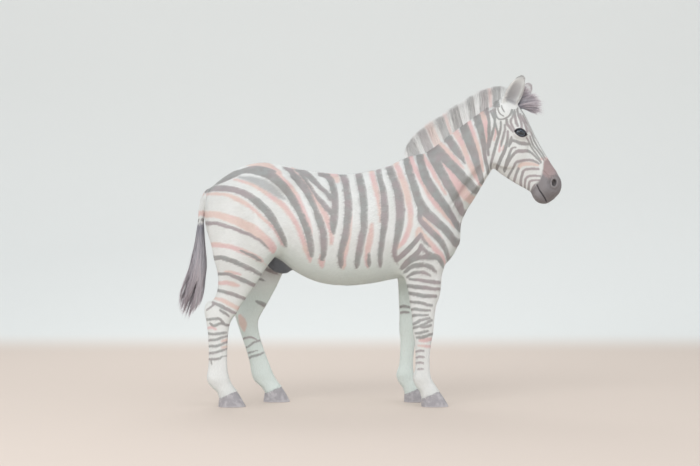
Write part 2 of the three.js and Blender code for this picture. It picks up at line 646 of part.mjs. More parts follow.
const zebra = new THREE.Group();
function place(name, solid, material) {
  const { numProp, vertProperties, triVerts, numVert } = solid.getMesh();
  const xyz = new Float32Array(numVert * 3);
  for (let i = 0; i < numVert; i++) xyz.set(vertProperties.subarray(i * numProp, i * numProp + 3), i * 3);
  const geometry = new THREE.BufferGeometry();
  geometry.setAttribute("position", new THREE.BufferAttribute(xyz, 3));
  geometry.setIndex(new THREE.BufferAttribute(triVerts, 1));
  geometry.computeVertexNormals();
  const mesh = new THREE.Mesh(geometry, material);
  mesh.name = name;
  zebra.add(mesh);
}

place("head", skull, materials.coat);
place("muzzle", muzzleSolid, materials.muzzle);
place("neck", neckSolid, materials.coat);
for (const [name, solid] of Object.entries(torso)) place(name, solid, materials.coat);
for (const side of Object.keys(sides)) {
  place(`ear_${side}`, ears[side], materials.coat);
  place(`eye_${side}`, eyes[side], materials.eye);
}
for (const [name, pieces] of Object.entries(legSolids)) {
  const side = name.slice(5);
  const [upper, lower, foot] = name.startsWith("fore")
    ? ["forearm", "forecannon", "forehoof"] : ["thigh", "hindcannon", "hindhoof"];
  place(`${upper}_${side}`, pieces.upper, materials.coat);
  place(`${lower}_${side}`, pieces.lower, materials.coat);
  place(`${foot}_${side}`, pieces.hoof, materials.hoof);
}
place("mane", maneSolid, materials.mane);
place("forelock", forelockSolid, materials.mane);
place("tail_dock", dockSolid, materials.coat);
place("tail_tuft", tuftSolid, materials.tail);
place("sheath", groin, materials.groin);

export default zebra;
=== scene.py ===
import math
import bpy
import numpy as np
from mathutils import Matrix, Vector
from mathutils.bvhtree import BVHTree


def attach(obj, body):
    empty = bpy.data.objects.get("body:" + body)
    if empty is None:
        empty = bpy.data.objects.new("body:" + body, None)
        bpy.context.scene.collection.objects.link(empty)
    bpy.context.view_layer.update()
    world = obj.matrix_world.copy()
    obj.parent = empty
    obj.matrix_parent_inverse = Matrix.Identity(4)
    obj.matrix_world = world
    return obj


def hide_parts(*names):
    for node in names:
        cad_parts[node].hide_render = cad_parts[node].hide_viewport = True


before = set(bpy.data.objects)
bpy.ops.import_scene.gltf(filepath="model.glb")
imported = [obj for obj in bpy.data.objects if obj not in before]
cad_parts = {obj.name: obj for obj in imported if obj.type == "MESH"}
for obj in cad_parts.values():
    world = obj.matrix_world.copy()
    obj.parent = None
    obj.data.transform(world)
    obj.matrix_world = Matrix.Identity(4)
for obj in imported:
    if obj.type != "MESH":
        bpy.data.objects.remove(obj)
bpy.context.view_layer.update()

dice = np.random.default_rng(7)

# Shapes are worked out in millimetres: +X to the nose, +Y to the animal's left, +Z up.
mm = 0.001


# vectors and noise
def unit(v):
    v = np.asarray(v, float)
    return v / np.linalg.norm(v, axis=-1, keepdims=True)


def ease(low, high, x):
    # 0 below low, 1 above high, and a smooth step between them
    t = np.clip((x - low) / (high - low), 0, 1)
    return t * t * (3 - 2 * t)


def noise(points, size, seed):
    # smooth value noise from -1 to 1, one lattice cell per `size` mm
    q = np.asarray(points, float) / size + 1000.0
    cell = np.floor(q).astype(np.int64)
    f = q - cell
    f = f * f * (3 - 2 * f)
    total = 0
    for corner in range(8):
        step = np.array([corner & 1, (corner >> 1) & 1, corner >> 2])
        h = ((cell + step) * np.array([374761393, 668265263, 2147483647])).sum(1) + seed * 1274126177
        h = (h ^ (h >> 13)) * 1103515245
        value = ((h ^ (h >> 16)) & 0xFFFF) / 32767.5 - 1
        total = total + value * np.where(step, f, 1 - f).prod(1)
    return total


# A frame in the side plane: `along` leans `pitch` degrees above +X, `up` is square to it.
def sideFrame(origin, pitch, yaw=0):
    c, s = math.cos(math.radians(pitch)), math.sin(math.radians(pitch))
    cy, sy = math.cos(math.radians(yaw)), math.sin(math.radians(yaw))
    return {"origin": np.array(origin, float), "along": np.array([c * cy, c * sy, s]),
            "side": np.array([-sy, cy, 0.0]), "up": np.array([-s * cy, -s * sy, c])}


def inFrame(f, points):
    q = np.asarray(points, float) - f["origin"]
    return q @ f["along"], q @ f["side"], q @ f["up"]


def toWorld(f, s, v, t):
    s, v, t = np.broadcast_arrays(s, v, t)
    return (f["origin"] + s[..., None] * f["along"] + v[..., None] * f["side"]
            + t[..., None] * f["up"])


headYaw = -8
body = sideFrame([0, 0, 0], 0)
neckFrame = sideFrame([330, 0, 1130], 42)
headFrame = sideFrame([822, (822 - 700) * math.tan(math.radians(headYaw)), 1457], -60, headYaw)
earParting = headFrame["origin"][1] + 15  # the left ear is on the +Y side of it
upright = {"origin": np.zeros(3), "along": np.array([0, 0, 1.0]), "side": np.array([0, 1.0, 0]),
           "up": np.array([1.0, 0, 0])}


# the pieces of the flesh's distance field, each negative inside
def blendMin(a, b, k):
    return np.minimum(a, b) - np.maximum(k - np.abs(a - b), 0) ** 2 / (4 * k)


def blendMax(a, b, k):
    return -blendMin(-a, -b, k)


def tabulate(rows, steps=160):
    # cubic interpolation through rows that start with their station
    rows = np.array(rows, float)
    x = rows[:, 0]
    low = np.maximum(np.arange(len(x)) - 1, 0)
    high = np.minimum(np.arange(len(x)) + 1, len(x) - 1)
    slope = (rows[high] - rows[low]) / (x[high] - x[low])[:, None]
    at = np.linspace(x[0], x[-1], steps + 1)
    i = np.clip(np.searchsorted(x, at, side="left") - 1, 0, len(x) - 2)
    h = (x[i + 1] - x[i])[:, None]
    u = (at - x[i])[:, None] / h
    table = (rows[i] + (rows[i + 1] - rows[i]) * u * u * (3 - 2 * u)
             + h * (slope[i] * u * (1 - u) ** 2 - slope[i + 1] * u * u * (1 - u)))
    return lambda s: [np.interp(s, at, column) for column in table.T]


# A body of oval sections along a frame: rows are [station, top, middle, bottom, half width, shift].
def loft(f, rows, sharp=2.0, blunt=2.0, dome=400.0):
    rows = [list(r) + [0] * (6 - len(r)) for r in rows]
    at = tabulate(rows)
    first, last = rows[0][0], rows[-1][0]

    def field(points):
        s, v, t = inFrame(f, points)
        _, top, mid, bottom, half, shift = at(s)
        t = t - mid
        v = np.abs(v - shift)
        height = np.where(t > 0, top - mid, mid - bottom)
        n = np.where(t > 0, sharp, blunt)
        beyond = s - np.clip(s, first, last)
        cap = np.minimum(np.minimum(height, half), dome)
        x, y, e = v / half, np.abs(t) / height, beyond / cap
        size = (x ** n + y ** n) ** (1 / n)
        k = np.sqrt(size * size + e * e) + 1e-9
        bend = (size + 1e-9) ** (1 - n)
        slope = np.hypot(bend * x ** (n - 1) / half, bend * y ** (n - 1) / height) * (size / k)
        return (k - 1) / np.sqrt(slope ** 2 + (e / k / cap) ** 2 + 1e-8)
    corners = np.array([toWorld(f, r[0] + e, r[5] + side * (r[4] + 2), h)
                        for r in rows for side in (-1, 1) for h in (r[1] + 2, r[3] - 2)
                        for e in (-min(dome, r[4]), min(dome, r[4]))])
    return field, corners.min(0), corners.max(0)


# An ellipsoid, turned by `pitch` in the side plane of its frame.
def mass(f, centre, radii, pitch=0):
    c, s = math.cos(math.radians(pitch)), math.sin(math.radians(pitch))
    axes = np.array([c * f["along"] + s * f["up"], f["side"], c * f["up"] - s * f["along"]])
    middle = toWorld(f, *centre)
    radii = np.array(radii, float)

    def field(points):
        q = (points - middle) @ axes.T / radii
        k = np.sqrt((q * q).sum(1)) + 1e-9
        return k * (k - 1) / (np.sqrt(((q / radii) ** 2).sum(1)) + 1e-9)
    reach = np.abs(axes.T * radii).sum(1)
    return field, middle - reach, middle + reach


def pair(f, centre, radii, pitch=0):
    return [mass(f, (centre[0], side * centre[1], centre[2]), radii, pitch) for side in (-1, 1)]


# A round limb along a line of points, its radius given at each.
def limb(line, radii):
    line, radii = np.array(line, float), np.array(radii, float)

    def field(points):
        best = np.full(len(points), 1e9)
        for a, b, ra, rb in zip(line[:-1], line[1:], radii[:-1], radii[1:]):
            t = np.clip((points - a) @ (b - a) / ((b - a) @ (b - a)), 0, 1)
            d = np.linalg.norm(points - a - t[:, None] * (b - a), axis=1) - (ra + (rb - ra) * t)
            best = np.minimum(best, d)
        return best
    return field, line.min(0) - radii.max(), line.max(0) + radii.max()


trunk = loft(body, [
    [-876, 1142, 1100, 1045, 42], [-824, 1194, 1085, 985, 98], [-760, 1242, 1065, 915, 160],
    [-680, 1284, 1050, 862, 205], [-580, 1305, 1045, 820, 226], [-480, 1295, 1015, 775, 224],
    [-380, 1271, 970, 702, 230], [-260, 1253, 935, 652, 238], [-120, 1243, 920, 637, 242],
    [20, 1263, 925, 650, 234], [120, 1292, 945, 670, 214], [200, 1309, 955, 682, 190],
    [300, 1285, 950, 697, 170], [390, 1180, 928, 738, 148], [430, 1105, 920, 772, 130],
    [460, 1035, 914, 812, 102], [478, 985, 910, 850, 74]], 1.85, 2.1, 16)
neck = loft(neckFrame, [
    [-160, 150, -20, -185, 128], [-40, 215, -15, -205, 140], [39, 228, -10, -206, 134],
    [139, 190, -8, -184, 110], [240, 180, -2, -154, 92], [330, 174, 8, -126, 81],
    [420, 165, 20, -98, 74], [515, 154, 40, -70, 68], [590, 140, 55, -30, 60],
    [632, 118, 62, 10, 46]], 1.75, 2)
skull = loft(headFrame, [
    [-212, 16, -10, -38, 30], [-190, 42, -22, -92, 54], [-140, 60, -35, -148, 68],
    [-80, 67, -25, -192, 80], [-20, 62, -12, -214, 84], [40, 57, -14, -224, 78],
    [92, 55, -24, -220, 68], [155, 54, -30, -194, 58], [230, 56, -30, -154, 48],
    [290, 60, -28, -120, 47], [330, 52, -28, -112, 48], [360, 26, -36, -104, 42],
    [378, -2, -52, -92, 33], [388, -22, -58, -82, 22]], 2.3, 1.9, 7)

# Leg rows: [height, front x, rear x, half width, sideways shift], for the right side
foreTrack, hindTrack = 112, 120
foreRows = [
    [48, 396, 276, 45], [80, 374, 264, 38], [115, 350, 240, 34], [150, 330, 230, 36],
    [200, 322, 242, 29], [270, 322, 244, 28], [340, 330, 240, 33], [390, 340, 231, 41],
    [430, 343, 228, 43], [480, 348, 224, 40], [540, 357, 214, 43], [610, 368, 203, 49],
    [680, 382, 186, 57], [750, 404, 164, 66, 4], [830, 428, 150, 70, 8], [930, 430, 170, 66, 4],
    [1040, 400, 200, 50, -8]]
hindRows = [
    [48, -675, -798, 45], [80, -698, -812, 38], [112, -724, -846, 34], [150, -742, -864, 36],
    [210, -753, -856, 29], [300, -753, -854, 28], [390, -748, -858, 31], [450, -734, -866, 38],
    [500, -700, -872, 41], [535, -682, -862, 40], [580, -648, -822, 40], [640, -606, -806, 50],
    [710, -562, -806, 62, 6], [790, -515, -826, 78, 8], [880, -505, -842, 90, 4],
    [980, -540, -850, 92, -8], [1080, -610, -836, 80, -26]]
hindLeftRows = [
    [48, -450, -570, 45], [80, -474, -590, 38], [112, -500, -626, 34], [150, -522, -644, 36],
    [210, -546, -654, 30], [290, -576, -676, 29], [380, -602, -706, 32], [440, -606, -726, 38],
    [495, -582, -742, 41], [530, -560, -742, 40], [580, -532, -722, 41], [640, -500, -716, 51],
    [710, -470, -732, 62, 6], [790, -448, -780, 78, 8], [880, -455, -822, 90, 4],
    [980, -500, -846, 92, -8], [1080, -590, -836, 80, -26]]
foreShift = tabulate([[48, -81], [160, -80], [400, -64], [600, -44], [760, -18], [1040, 0]])
foreLeftRows = [[r[0]] + [x + foreShift(r[0])[1] for x in r[1:3]] + r[3:] for r in foreRows]


def leg(rows, track, side):
    stations = [[r[0], r[1], (r[1] + r[2]) / 2, r[2], r[3], side * (track + (r[4] if len(r) > 4 else 0))]
                for r in rows]
    return loft(upright, stations, 2.2, 2.2)


legRows = {"fore_right": (foreRows, foreTrack, -1), "fore_left": (foreLeftRows, foreTrack, 1),
           "hind_right": (hindRows, hindTrack, -1), "hind_left": (hindLeftRows, hindTrack, 1)}


# An ear: a leaf-shaped cup with its opening to `facing`. Rows are [station, half width, depth].
earRows = tabulate([[0, 26, 26], [25, 36, 31], [60, 48, 32], [100, 52, 27], [140, 48, 21],
                    [172, 38, 14], [193, 27, 9], [208, 13, 5]])
earShape = {"length": 208, "wall": 9.0, "bow": 0.00042, "inset": -1.5}


def earFrame(side):
    pitch = math.radians(107 if side > 0 else 119)  # the left ear is pricked further forward
    axes = np.array([headFrame["along"], headFrame["side"], headFrame["up"]])
    along = unit(np.array([math.cos(pitch), side * 0.16, math.sin(pitch)]) @ axes)
    facing = unit(np.cross(np.cross(along, [0.42, side * 0.9, 0.1]), along))
    return {"origin": toWorld(headFrame, -150, side * 46, -20), "along": along,
            "up": facing, "side": np.cross(along, facing)}


def ear(side):
    f = earFrame(side)

    def field(points):
        s, v, t = inFrame(f, points)
        _, half, depth = earRows(s)
        half, depth = half - earShape["inset"], depth - earShape["inset"]
        t = t + earShape["bow"] * np.clip(s, 0, None) ** 2
        outer = (np.hypot(v / half, t / depth) - 1) * np.minimum(half, depth)
        wall = np.minimum(earShape["wall"], half * 0.45)
        cup = (np.hypot(v / (half - wall), t / np.maximum(depth - wall, 1.5)) - 1) * np.minimum(half, depth)
        floor = 46 - s + 0.012 * v * v  # the cup's floor is rounded
        hollow = blendMax(cup, floor, 14)
        shell = blendMax(outer, t - 0.18 * depth, 3)
        shell = blendMax(shell, -hollow, 3)
        return blendMax(np.maximum(shell, -12 - s), s - earShape["length"], 4)
    reach = np.array([60, 60, 60.0])
    ends = np.array([f["origin"], f["origin"] + 215 * f["along"]])
    return field, ends.min(0) - reach, ends.max(0) + reach


# eyes and nostrils, placed in the head's frame
eye = {"place": (0, 78, -8), "tilt": 43, "radii": (37, 27, 27), "opening": (33.5, 18.5), "lid": 5.0}
nostril = {"place": (319, 43, 15), "radii": (21, 20, 12), "tilt": -34}
nostrils = pair(headFrame, nostril["place"], nostril["radii"], nostril["tilt"])
sheath = mass(body, (-488, 0, 768), (84, 40, 58), -32)


def eyeFrame(side):
    c, s = math.cos(math.radians(eye["tilt"])), math.sin(math.radians(eye["tilt"]))
    a, v, t = eye["place"]
    out = unit(side * headFrame["side"] + 0.10 * headFrame["along"] + 0.10 * headFrame["up"])
    along = unit(c * headFrame["along"] + s * headFrame["up"])
    along = unit(along - (along @ out) * out)  # to the front corner
    up = np.cross(out, along) * side
    up = up if up[2] > 0 else -up
    return {"origin": toWorld(headFrame, a, side * v, t), "along": along, "side": out, "up": up}


def lidEdge(e1):
    # half heights of the almond opening above and below its long axis
    half, height = eye["opening"]
    skew = e1 / half
    shape = np.clip(1 - np.clip(np.abs(skew), 0, 1) ** 2, 0, 1)
    return height * shape ** 0.8 * (1.1 - 0.22 * skew), height * shape ** 0.9 * (0.86 + 0.2 * skew)


def eyeOpening(side):
    f = eyeFrame(side)
    half = eye["opening"][0]

    def field(points):
        e1, out, e2 = inFrame(f, points)
        top, bottom = lidEdge(e1)
        gap = np.where(e2 > 0, e2 - top, -e2 - bottom) * 0.85
        gap = np.maximum(gap, np.abs(e1) - half)
        return np.maximum(gap, 6 - out)
    return field, f["origin"] - (half + 6), f["origin"] + (half + 6)


def eyeLids(side):
    return mass(eyeFrame(side), (0, 0, 0), np.array(eye["radii"]) + eye["lid"])


# the whole skin: shapes with their blend radius, a negative one carves
def group(shapes, k):
    return [(shape, k) for shape in shapes]


def masses(f, *rows):
    # one on each side: centre, radii, pitch and blend radius
    return [(shape, k) for centre, radii, pitch, k in rows for shape in pair(f, centre, radii, pitch)]


torsoParts = group([trunk], 1) + group([neck], 70) + masses(
    body,
    ((-470, 150, 1190), (75, 48, 52), -20, 60),  # point of the hip
    ((-806, 78, 1000), (72, 64, 140), 8, 50),  # buttock
    ((-560, 168, 905), (100, 60, 130), -25, 70),  # thigh over the stifle
    ((225, 152, 905), (112, 48, 118), 30, 60),  # triceps
    ((318, 112, 1055), (60, 50, 165), 30, 60),  # shoulder blade
    ((412, 92, 915), (58, 52, 84), 10, 50)  # point of the shoulder
) + masses(
    neckFrame,
    ((150, 80, -60), (180, 40, 70), -8, 60),  # muscle over the windpipe
    ((500, 52, 60), (90, 28, 50), 0, 40))  # wing of the first neck bone
headParts = group([skull], 1) + masses(
    headFrame,
    ((28, 56, -116), (106, 26, 94), 0, 30),  # cheek
    ((-6, 70, -2), (50, 25, 38), -8, 22),  # rim of the eye socket
    ((92, 56, -18), (92, 12, 10), 4, 18),  # crest under the eye
    ((-150, 42, -30), (52, 36, 48), 0, 26),  # root of the ear
    ((318, 34, 24), (46, 22, 30), -12, 20),  # nostril
    ((346, 20, -10), (38, 34, 42), 0, 22),  # upper lip
    ((340, 12, -88), (40, 30, 26), 12, 20)  # lower lip and chin
) + group([eyeLids(-1), eyeLids(1), ear(-1), ear(1)], 9)
legParts = group([leg(*rows) for rows in legRows.values()], 55) + group([
    mass(upright, (640, -112, 345), (85, 40, 34)),  # front of each forearm
    mass(upright, (640, 112, 300), (85, 40, 34)),
    mass(upright, (524, -120, -853), (38, 17, 16)),  # point of each hock
    mass(upright, (522, 120, -722), (38, 17, 16))], 28)
dock = limb([(-816, 0, 1148), (-862, 0, 1138), (-888, 0, 1100), (-902, 0, 1045), (-908, 0, 985),
             (-911, 0, 925), (-914, 0, 872)], [24, 27, 25, 21, 19, 17, 11])
lateParts = (
    masses(body, ((-455, 272, 1085), (90, 38, 80), 20, -50))  # hollow of the flank
    + masses(headFrame,
             ((-66, 96, 24), (30, 16, 20), 0, -18),  # hollow above the eye
             ((180, 66, 4), (90, 16, 26), 3, -30))  # side of the nose
    + masses(neckFrame, ((270, 112, -92), (180, 22, 22), 8, -30))  # groove beside the windpipe
    + group([dock], 22) + group([sheath], 26)
    + group([eyeOpening(-1), eyeOpening(1)], -1.5) + group(nostrils, -4))


def addParts(points, parts, d, band=34):
    reach = band + max(abs(k) for _, k in parts)
    for (field, low, high), k in parts:
        near = np.flatnonzero(((points > low - reach) & (points < high + reach)).all(1))
        if len(near):
            value = field(points[near])
            d[near] = blendMin(d[near], value, k) if k > 0 else blendMax(d[near], -value, -k)
    return d


def coatDepth(points):
    # how far the skin lies below the tips of the coat
    face = ease(600, 780, points[:, 0])
    foot = ease(640, 420, points[:, 2])
    return 3.4 - 1.8 * np.maximum(face, foot)


hoofToes = {"fore_right": (422, -foreTrack), "fore_left": (339, foreTrack),
            "hind_right": (-655, -hindTrack), "hind_left": (-432, hindTrack)}
hoofSize = {"length": 146, "width": 104, "topLength": 104, "topWidth": 84, "slant": 25, "heel": 24,
            "rise": 62}


def hairlineHeight(x, toe):
    # the plane where a hoof meets the hair, lower at the heel
    middle = toe - hoofSize["length"] / 2 - hoofSize["slant"]
    return hoofSize["rise"] + (x - middle) * hoofSize["heel"] / (hoofSize["topLength"] / 2)


joint = {"headFrom": 560, "headBlend": 26, "hoofBelow": 130, "hoofOverlap": 7, "far": 400.0}


def skinField(points):
    # mm outside the hide, negative inside; the legs are cut off a little inside the hooves
    far = np.full(len(points), joint["far"])
    d = addParts(points, torsoParts, far.copy())
    head = addParts(points, headParts, far)
    d = np.where(points[:, 0] > joint["headFrom"], blendMin(d, head, joint["headBlend"]), d)
    d = addParts(points, legParts, d)
    d = addParts(points, lateParts, d) + coatDepth(points)
    low = np.flatnonzero(points[:, 2] < joint["hoofBelow"])
    if len(low):
        q = points[low]
        for toe, y in hoofToes.values():
            mine = (np.abs(q[:, 0] - toe + 90) < 110) & (np.sign(q[:, 1]) == np.sign(y))
            cut = (hairlineHeight(q[:, 0], toe) - joint["hoofOverlap"] - q[:, 2]) * 0.9
            d[low] = np.where(mine, np.maximum(d[low], cut), d[low])
    return d


# meshing the field on a graded grid, finest over the head
def steps(start, stop, step):
    return np.linspace(start, stop, int(round((stop - start) / step)) + 1)


# each axis changes its step at the middle one of three places
skinGrid = {"body": 7.0, "head": 2.6, "upper": 3.2,
            "length": (-938, 660, 1044), "side": (0, 128, 254), "height": (34, 1062, 1764)}


def gradedAxis(key, near, far):
    first, change, last = skinGrid[key]
    return np.concatenate([steps(first, change, skinGrid[near])[:-1], steps(change, last, skinGrid[far])])


def gradedGrid():
    x, side, z = [gradedAxis(*key) for key in (("length", "body", "head"), ("side", "head", "body"),
                                               ("height", "body", "upper"))]
    y = np.concatenate([-side[:0:-1], side])
    return [np.append(a, a[-1] + (a[-1] - a[-2]) * np.arange(1, 5 - (len(a) - 1) % 4)) for a in (x, y, z)]


def sampleField(axes, block=4):
    # only blocks of the grid that the surface may pass through are worked out in full
    counts = [(len(a) - 1) // block for a in axes]
    axes = [a[:c * block + 1] for a, c in zip(axes, counts)]
    middles = [(a[:-1:block] + a[block::block]) / 2 for a in axes]
    halves = [(a[block::block] - a[:-1:block]) / 2 for a in axes]
    centre = np.stack(np.meshgrid(*middles, indexing="ij"), -1).reshape(-1, 3)
    reach = np.sqrt(sum(h ** 2 for h in np.meshgrid(*halves, indexing="ij"))).reshape(-1)
    coarse = np.concatenate([skinField(part) for part in np.array_split(centre, 6)])
    near = (np.abs(coarse) < reach * 1.15 + 9).reshape(counts)
    full = np.repeat(np.repeat(np.repeat(coarse.reshape(counts) < 0, block, 0), block, 1), block, 2)
    values = np.where(np.pad(full, ((0, 1),) * 3, mode="edge"), -50.0, 50.0).astype(np.float32)
    wanted = np.zeros(values.shape, bool)
    for i, j, k in zip(*np.nonzero(near)):
        wanted[i * block:i * block + block + 1, j * block:j * block + block + 1,
               k * block:k * block + block + 1] = True
    at = np.nonzero(wanted)
    parts = np.array_split(np.arange(len(at[0])), max(len(at[0]) // 400000, 1))
    for part in parts:
        i, j, k = (a[part] for a in at)
        values[i, j, k] = skinField(np.stack([axes[0][i], axes[1][j], axes[2][k]], 1))
    return axes, values


def surfaceNet(axes, values):
    # one vertex in each cell that the surface crosses, one face on each grid edge that it crosses
    inside = values < 0
    shape = np.array(values.shape)
    stride = np.array([shape[1] * shape[2], shape[2], 1])
    cells, places, quads, flips = [], [], [], []
    for axis in range(3):
        idx = np.argwhere(np.diff(inside, axis=axis))
        nxt = idx.copy()
        nxt[:, axis] += 1
        a, b = values[tuple(idx.T)], values[tuple(nxt.T)]
        t = a / (a - b)
        p = np.stack([axes[n][idx[:, n]] for n in range(3)], 1)
        p[:, axis] += t * (axes[axis][nxt[:, axis]] - p[:, axis])
        u, v = (axis + 1) % 3, (axis + 2) % 3
        corner = []
        for du, dv in ((0, 0), (1, 0), (1, 1), (0, 1)):
            cell = idx.copy()
            cell[:, u] -= 1 - du
            cell[:, v] -= 1 - dv
            corner.append(cell @ stride)
            cells.append(corner[-1])
            places.append(p)
        quads.append(np.stack(corner, 1))
        flips.append(a > 0)
    cells, places = np.concatenate(cells), np.concatenate(places)
    quads, flips = np.concatenate(quads), np.concatenate(flips)
    ids, where = np.unique(cells, return_inverse=True)
    count = np.bincount(where)
    vertices = np.stack([np.bincount(where, places[:, n]) / count for n in range(3)], 1)
    faces = np.searchsorted(ids, quads)
    faces[flips] = faces[flips][:, ::-1]
    return vertices, faces


print("skin: sampling the flesh")
skinVertices, skinFaces = surfaceNet(*sampleField(gradedGrid()))
probe = 0.8  # mm, to find which way the field rises
base = skinField(skinVertices)
slope = np.stack([(skinField(skinVertices + probe * axis) - base) / probe for axis in np.eye(3)], 1)
move = -base[:, None] * slope / np.maximum((slope ** 2).sum(1), 0.2)[:, None]
skinVertices += np.clip(move, -2.0, 2.0)


def meshNormals():
    corners = skinVertices[skinFaces]
    tilt = unit(np.cross(corners[:, 2] - corners[:, 0], corners[:, 3] - corners[:, 1]))
    total = sum(np.stack([np.bincount(skinFaces[:, k], tilt[:, n], len(skinVertices)) for n in range(3)], 1)
                for k in range(4))
    return tilt, unit(total)


# small folds, where two shapes meet too sharply, are eased flat
tilt, _ = meshNormals()
sharp = np.zeros(len(skinVertices), bool)
sharp[skinFaces[(tilt * unit(slope[skinFaces].mean(1))).sum(1) < 0.6]] = True
sharp[skinFaces[sharp[skinFaces].any(1)]] = True
links = np.bincount(skinFaces.ravel(), minlength=len(skinVertices))[:, None] * 2
for _ in range(5):
    ahead = skinVertices[np.roll(skinFaces, 1, 1)] + skinVertices[np.roll(skinFaces, -1, 1)]
    total = np.stack([np.bincount(skinFaces.ravel(), ahead[:, :, n].ravel(), len(skinVertices))
                      for n in range(3)], 1)
    skinVertices = np.where(sharp[:, None], total / links, skinVertices)
slope = np.where(sharp[:, None], meshNormals()[1], slope)
print("skin:", len(skinVertices), "vertices,", len(skinFaces), "faces,", sharp.sum(), "eased")


# mesh and material tools
soft, even = "SMOOTHSTEP", "LINEAR"  # how a wash of colour fades in


def linear(hexColour):
    c = [int(hexColour[i:i + 2], 16) / 255 for i in (1, 3, 5)]
    return [v / 12.92 if v <= 0.04045 else ((v + 0.055) / 1.055) ** 2.4 for v in c] + [1.0]


def addNode(tree, kind, inputs=None, out=0, **settings):
    # inputs: {socket name or number: a value, or an output to link from}; gives the output `out`
    node = tree.nodes.new("ShaderNode" + kind)
    for name, value in settings.items():
        setattr(node, name, value)
    for name, value in (inputs or {}).items():
        socket = node.inputs[name]
        if isinstance(value, bpy.types.NodeSocket):
            tree.links.new(value, socket)
        else:
            socket.default_value = value
    return node.outputs[out] if node.outputs else node


def newMaterial(name):
    material = bpy.data.materials.new(name)
    material.use_nodes = True
    material.node_tree.nodes.clear()
    return material, material.node_tree


def paint(tree, colours, washes):
    # each wash lays a colour over another one where a value goes from low to high, up to a most share;
    # the first colour named is the ground, and is given back with all that is laid on it
    tones = {name: linear(colour) for name, colour in colours.items()}
    for under, over, value, low, high, most, fade in washes:
        share = addNode(tree, "MapRange", {"Value": value, "From Min": low, "From Max": high, "To Max": most},
                        interpolation_type=fade)
        tones[under] = addNode(tree, "Mix", {"Factor": share, "A": tones[under], "B": tones[over]},
                               "Result", data_type="RGBA")
    return tones[next(iter(tones))]


def addObject(name, data, place=(0, 0, 0), turn=(0, 0, 0)):
    obj = bpy.data.objects.new(name, data)
    obj.location = place
    obj.rotation_euler = turn
    bpy.context.collection.objects.link(obj)
    return obj


def meshObject(name, vertices, faces, material, attributes=None, uv=None):
    # faces is an array of quads or of triangles; uv holds one pair per face corner
    faces = np.asarray(faces)
    mesh = bpy.data.meshes.new(name)
    mesh.vertices.add(len(vertices))
    mesh.vertices.foreach_set("co", (np.asarray(vertices) * mm).astype(np.float32).ravel())
    mesh.loops.add(faces.size)
    mesh.loops.foreach_set("vertex_index", faces.astype(np.int32).ravel())
    mesh.polygons.add(len(faces))
    mesh.polygons.foreach_set("loop_start", np.arange(0, faces.size, faces.shape[1], dtype=np.int32))
    mesh.update(calc_edges=True)
    mesh.polygons.foreach_set("use_smooth", np.ones(len(faces), bool))
    for key, values in (attributes or {}).items():
        values = np.asarray(values, np.float32)
        wide = values.ndim == 2
        layer = mesh.attributes.new(key, "FLOAT_VECTOR" if wide else "FLOAT", "POINT")
        layer.data.foreach_set("vector" if wide else "value", values.ravel())
    if uv is not None:
        layer = mesh.uv_layers.new(name="OFBake")
        layer.uv.foreach_set("vector", np.asarray(uv, np.float32).ravel())
    mesh.materials.append(material)
    obj = addObject(name, mesh)
    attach(obj, "root")
    return obj


def gridFaces(rows, columns, closed=True):
    # quads between the points of a grid; a closed one joins its last column to its first
    i, j = np.meshgrid(np.arange(rows - 1), np.arange(columns if closed else columns - 1), indexing="ij")
    onward = (j + 1) % columns
    corners = [i * columns + j, i * columns + onward, (i + 1) * columns + onward, (i + 1) * columns + j]
    return np.stack(corners, -1).reshape(-1, 4)


def ribbons(centre, across, half):
    # flat hairs that end in a point, from the points down the middle of each; also how far along each lies
    n, segments = len(centre), centre.shape[1] - 1
    wide = across * half[..., None]
    sides = np.stack([centre[:, :-1] - wide, centre[:, :-1] + wide], 2).reshape(n, -1, 3)
    points = np.concatenate([sides, centre[:, -1:]], 1)
    each = 2 * segments + 1
    one = [t for a in range(0, each - 3, 2) for t in ((a, a + 1, a + 3), (a, a + 3, a + 2))]
    one.append((each - 3, each - 2, each - 1))
    faces = (np.arange(n)[:, None, None] * each + np.array(one)).reshape(-1, 3)
    along = np.append(np.repeat(np.arange(segments) / segments, 2), 1.0)
    return points.reshape(-1, 3), faces, np.tile(along, n), each


def blades(root, heading, out, length, width, rise, sway=0.0):
    # straight tapering hairs; rise: the height above the root line at each step along the hair, in mm
    u = np.arange(len(rise)) / (len(rise) - 1)
    across = unit(np.cross(heading, out))[:, None]
    centre = (root[:, None] + heading[:, None] * (length[:, None] * u)[..., None]
              + out[:, None] * np.stack(rise, 1)[..., None])
    centre = centre + across * (np.reshape(sway, (-1, 1)) * u * u)[..., None]
    taper = 1.0 - 0.45 * np.maximum(0, u - 0.4) / 0.6
    taper[0] = 0.75
    return ribbons(centre, across, width[:, None] * 0.5 * taper[:-1])


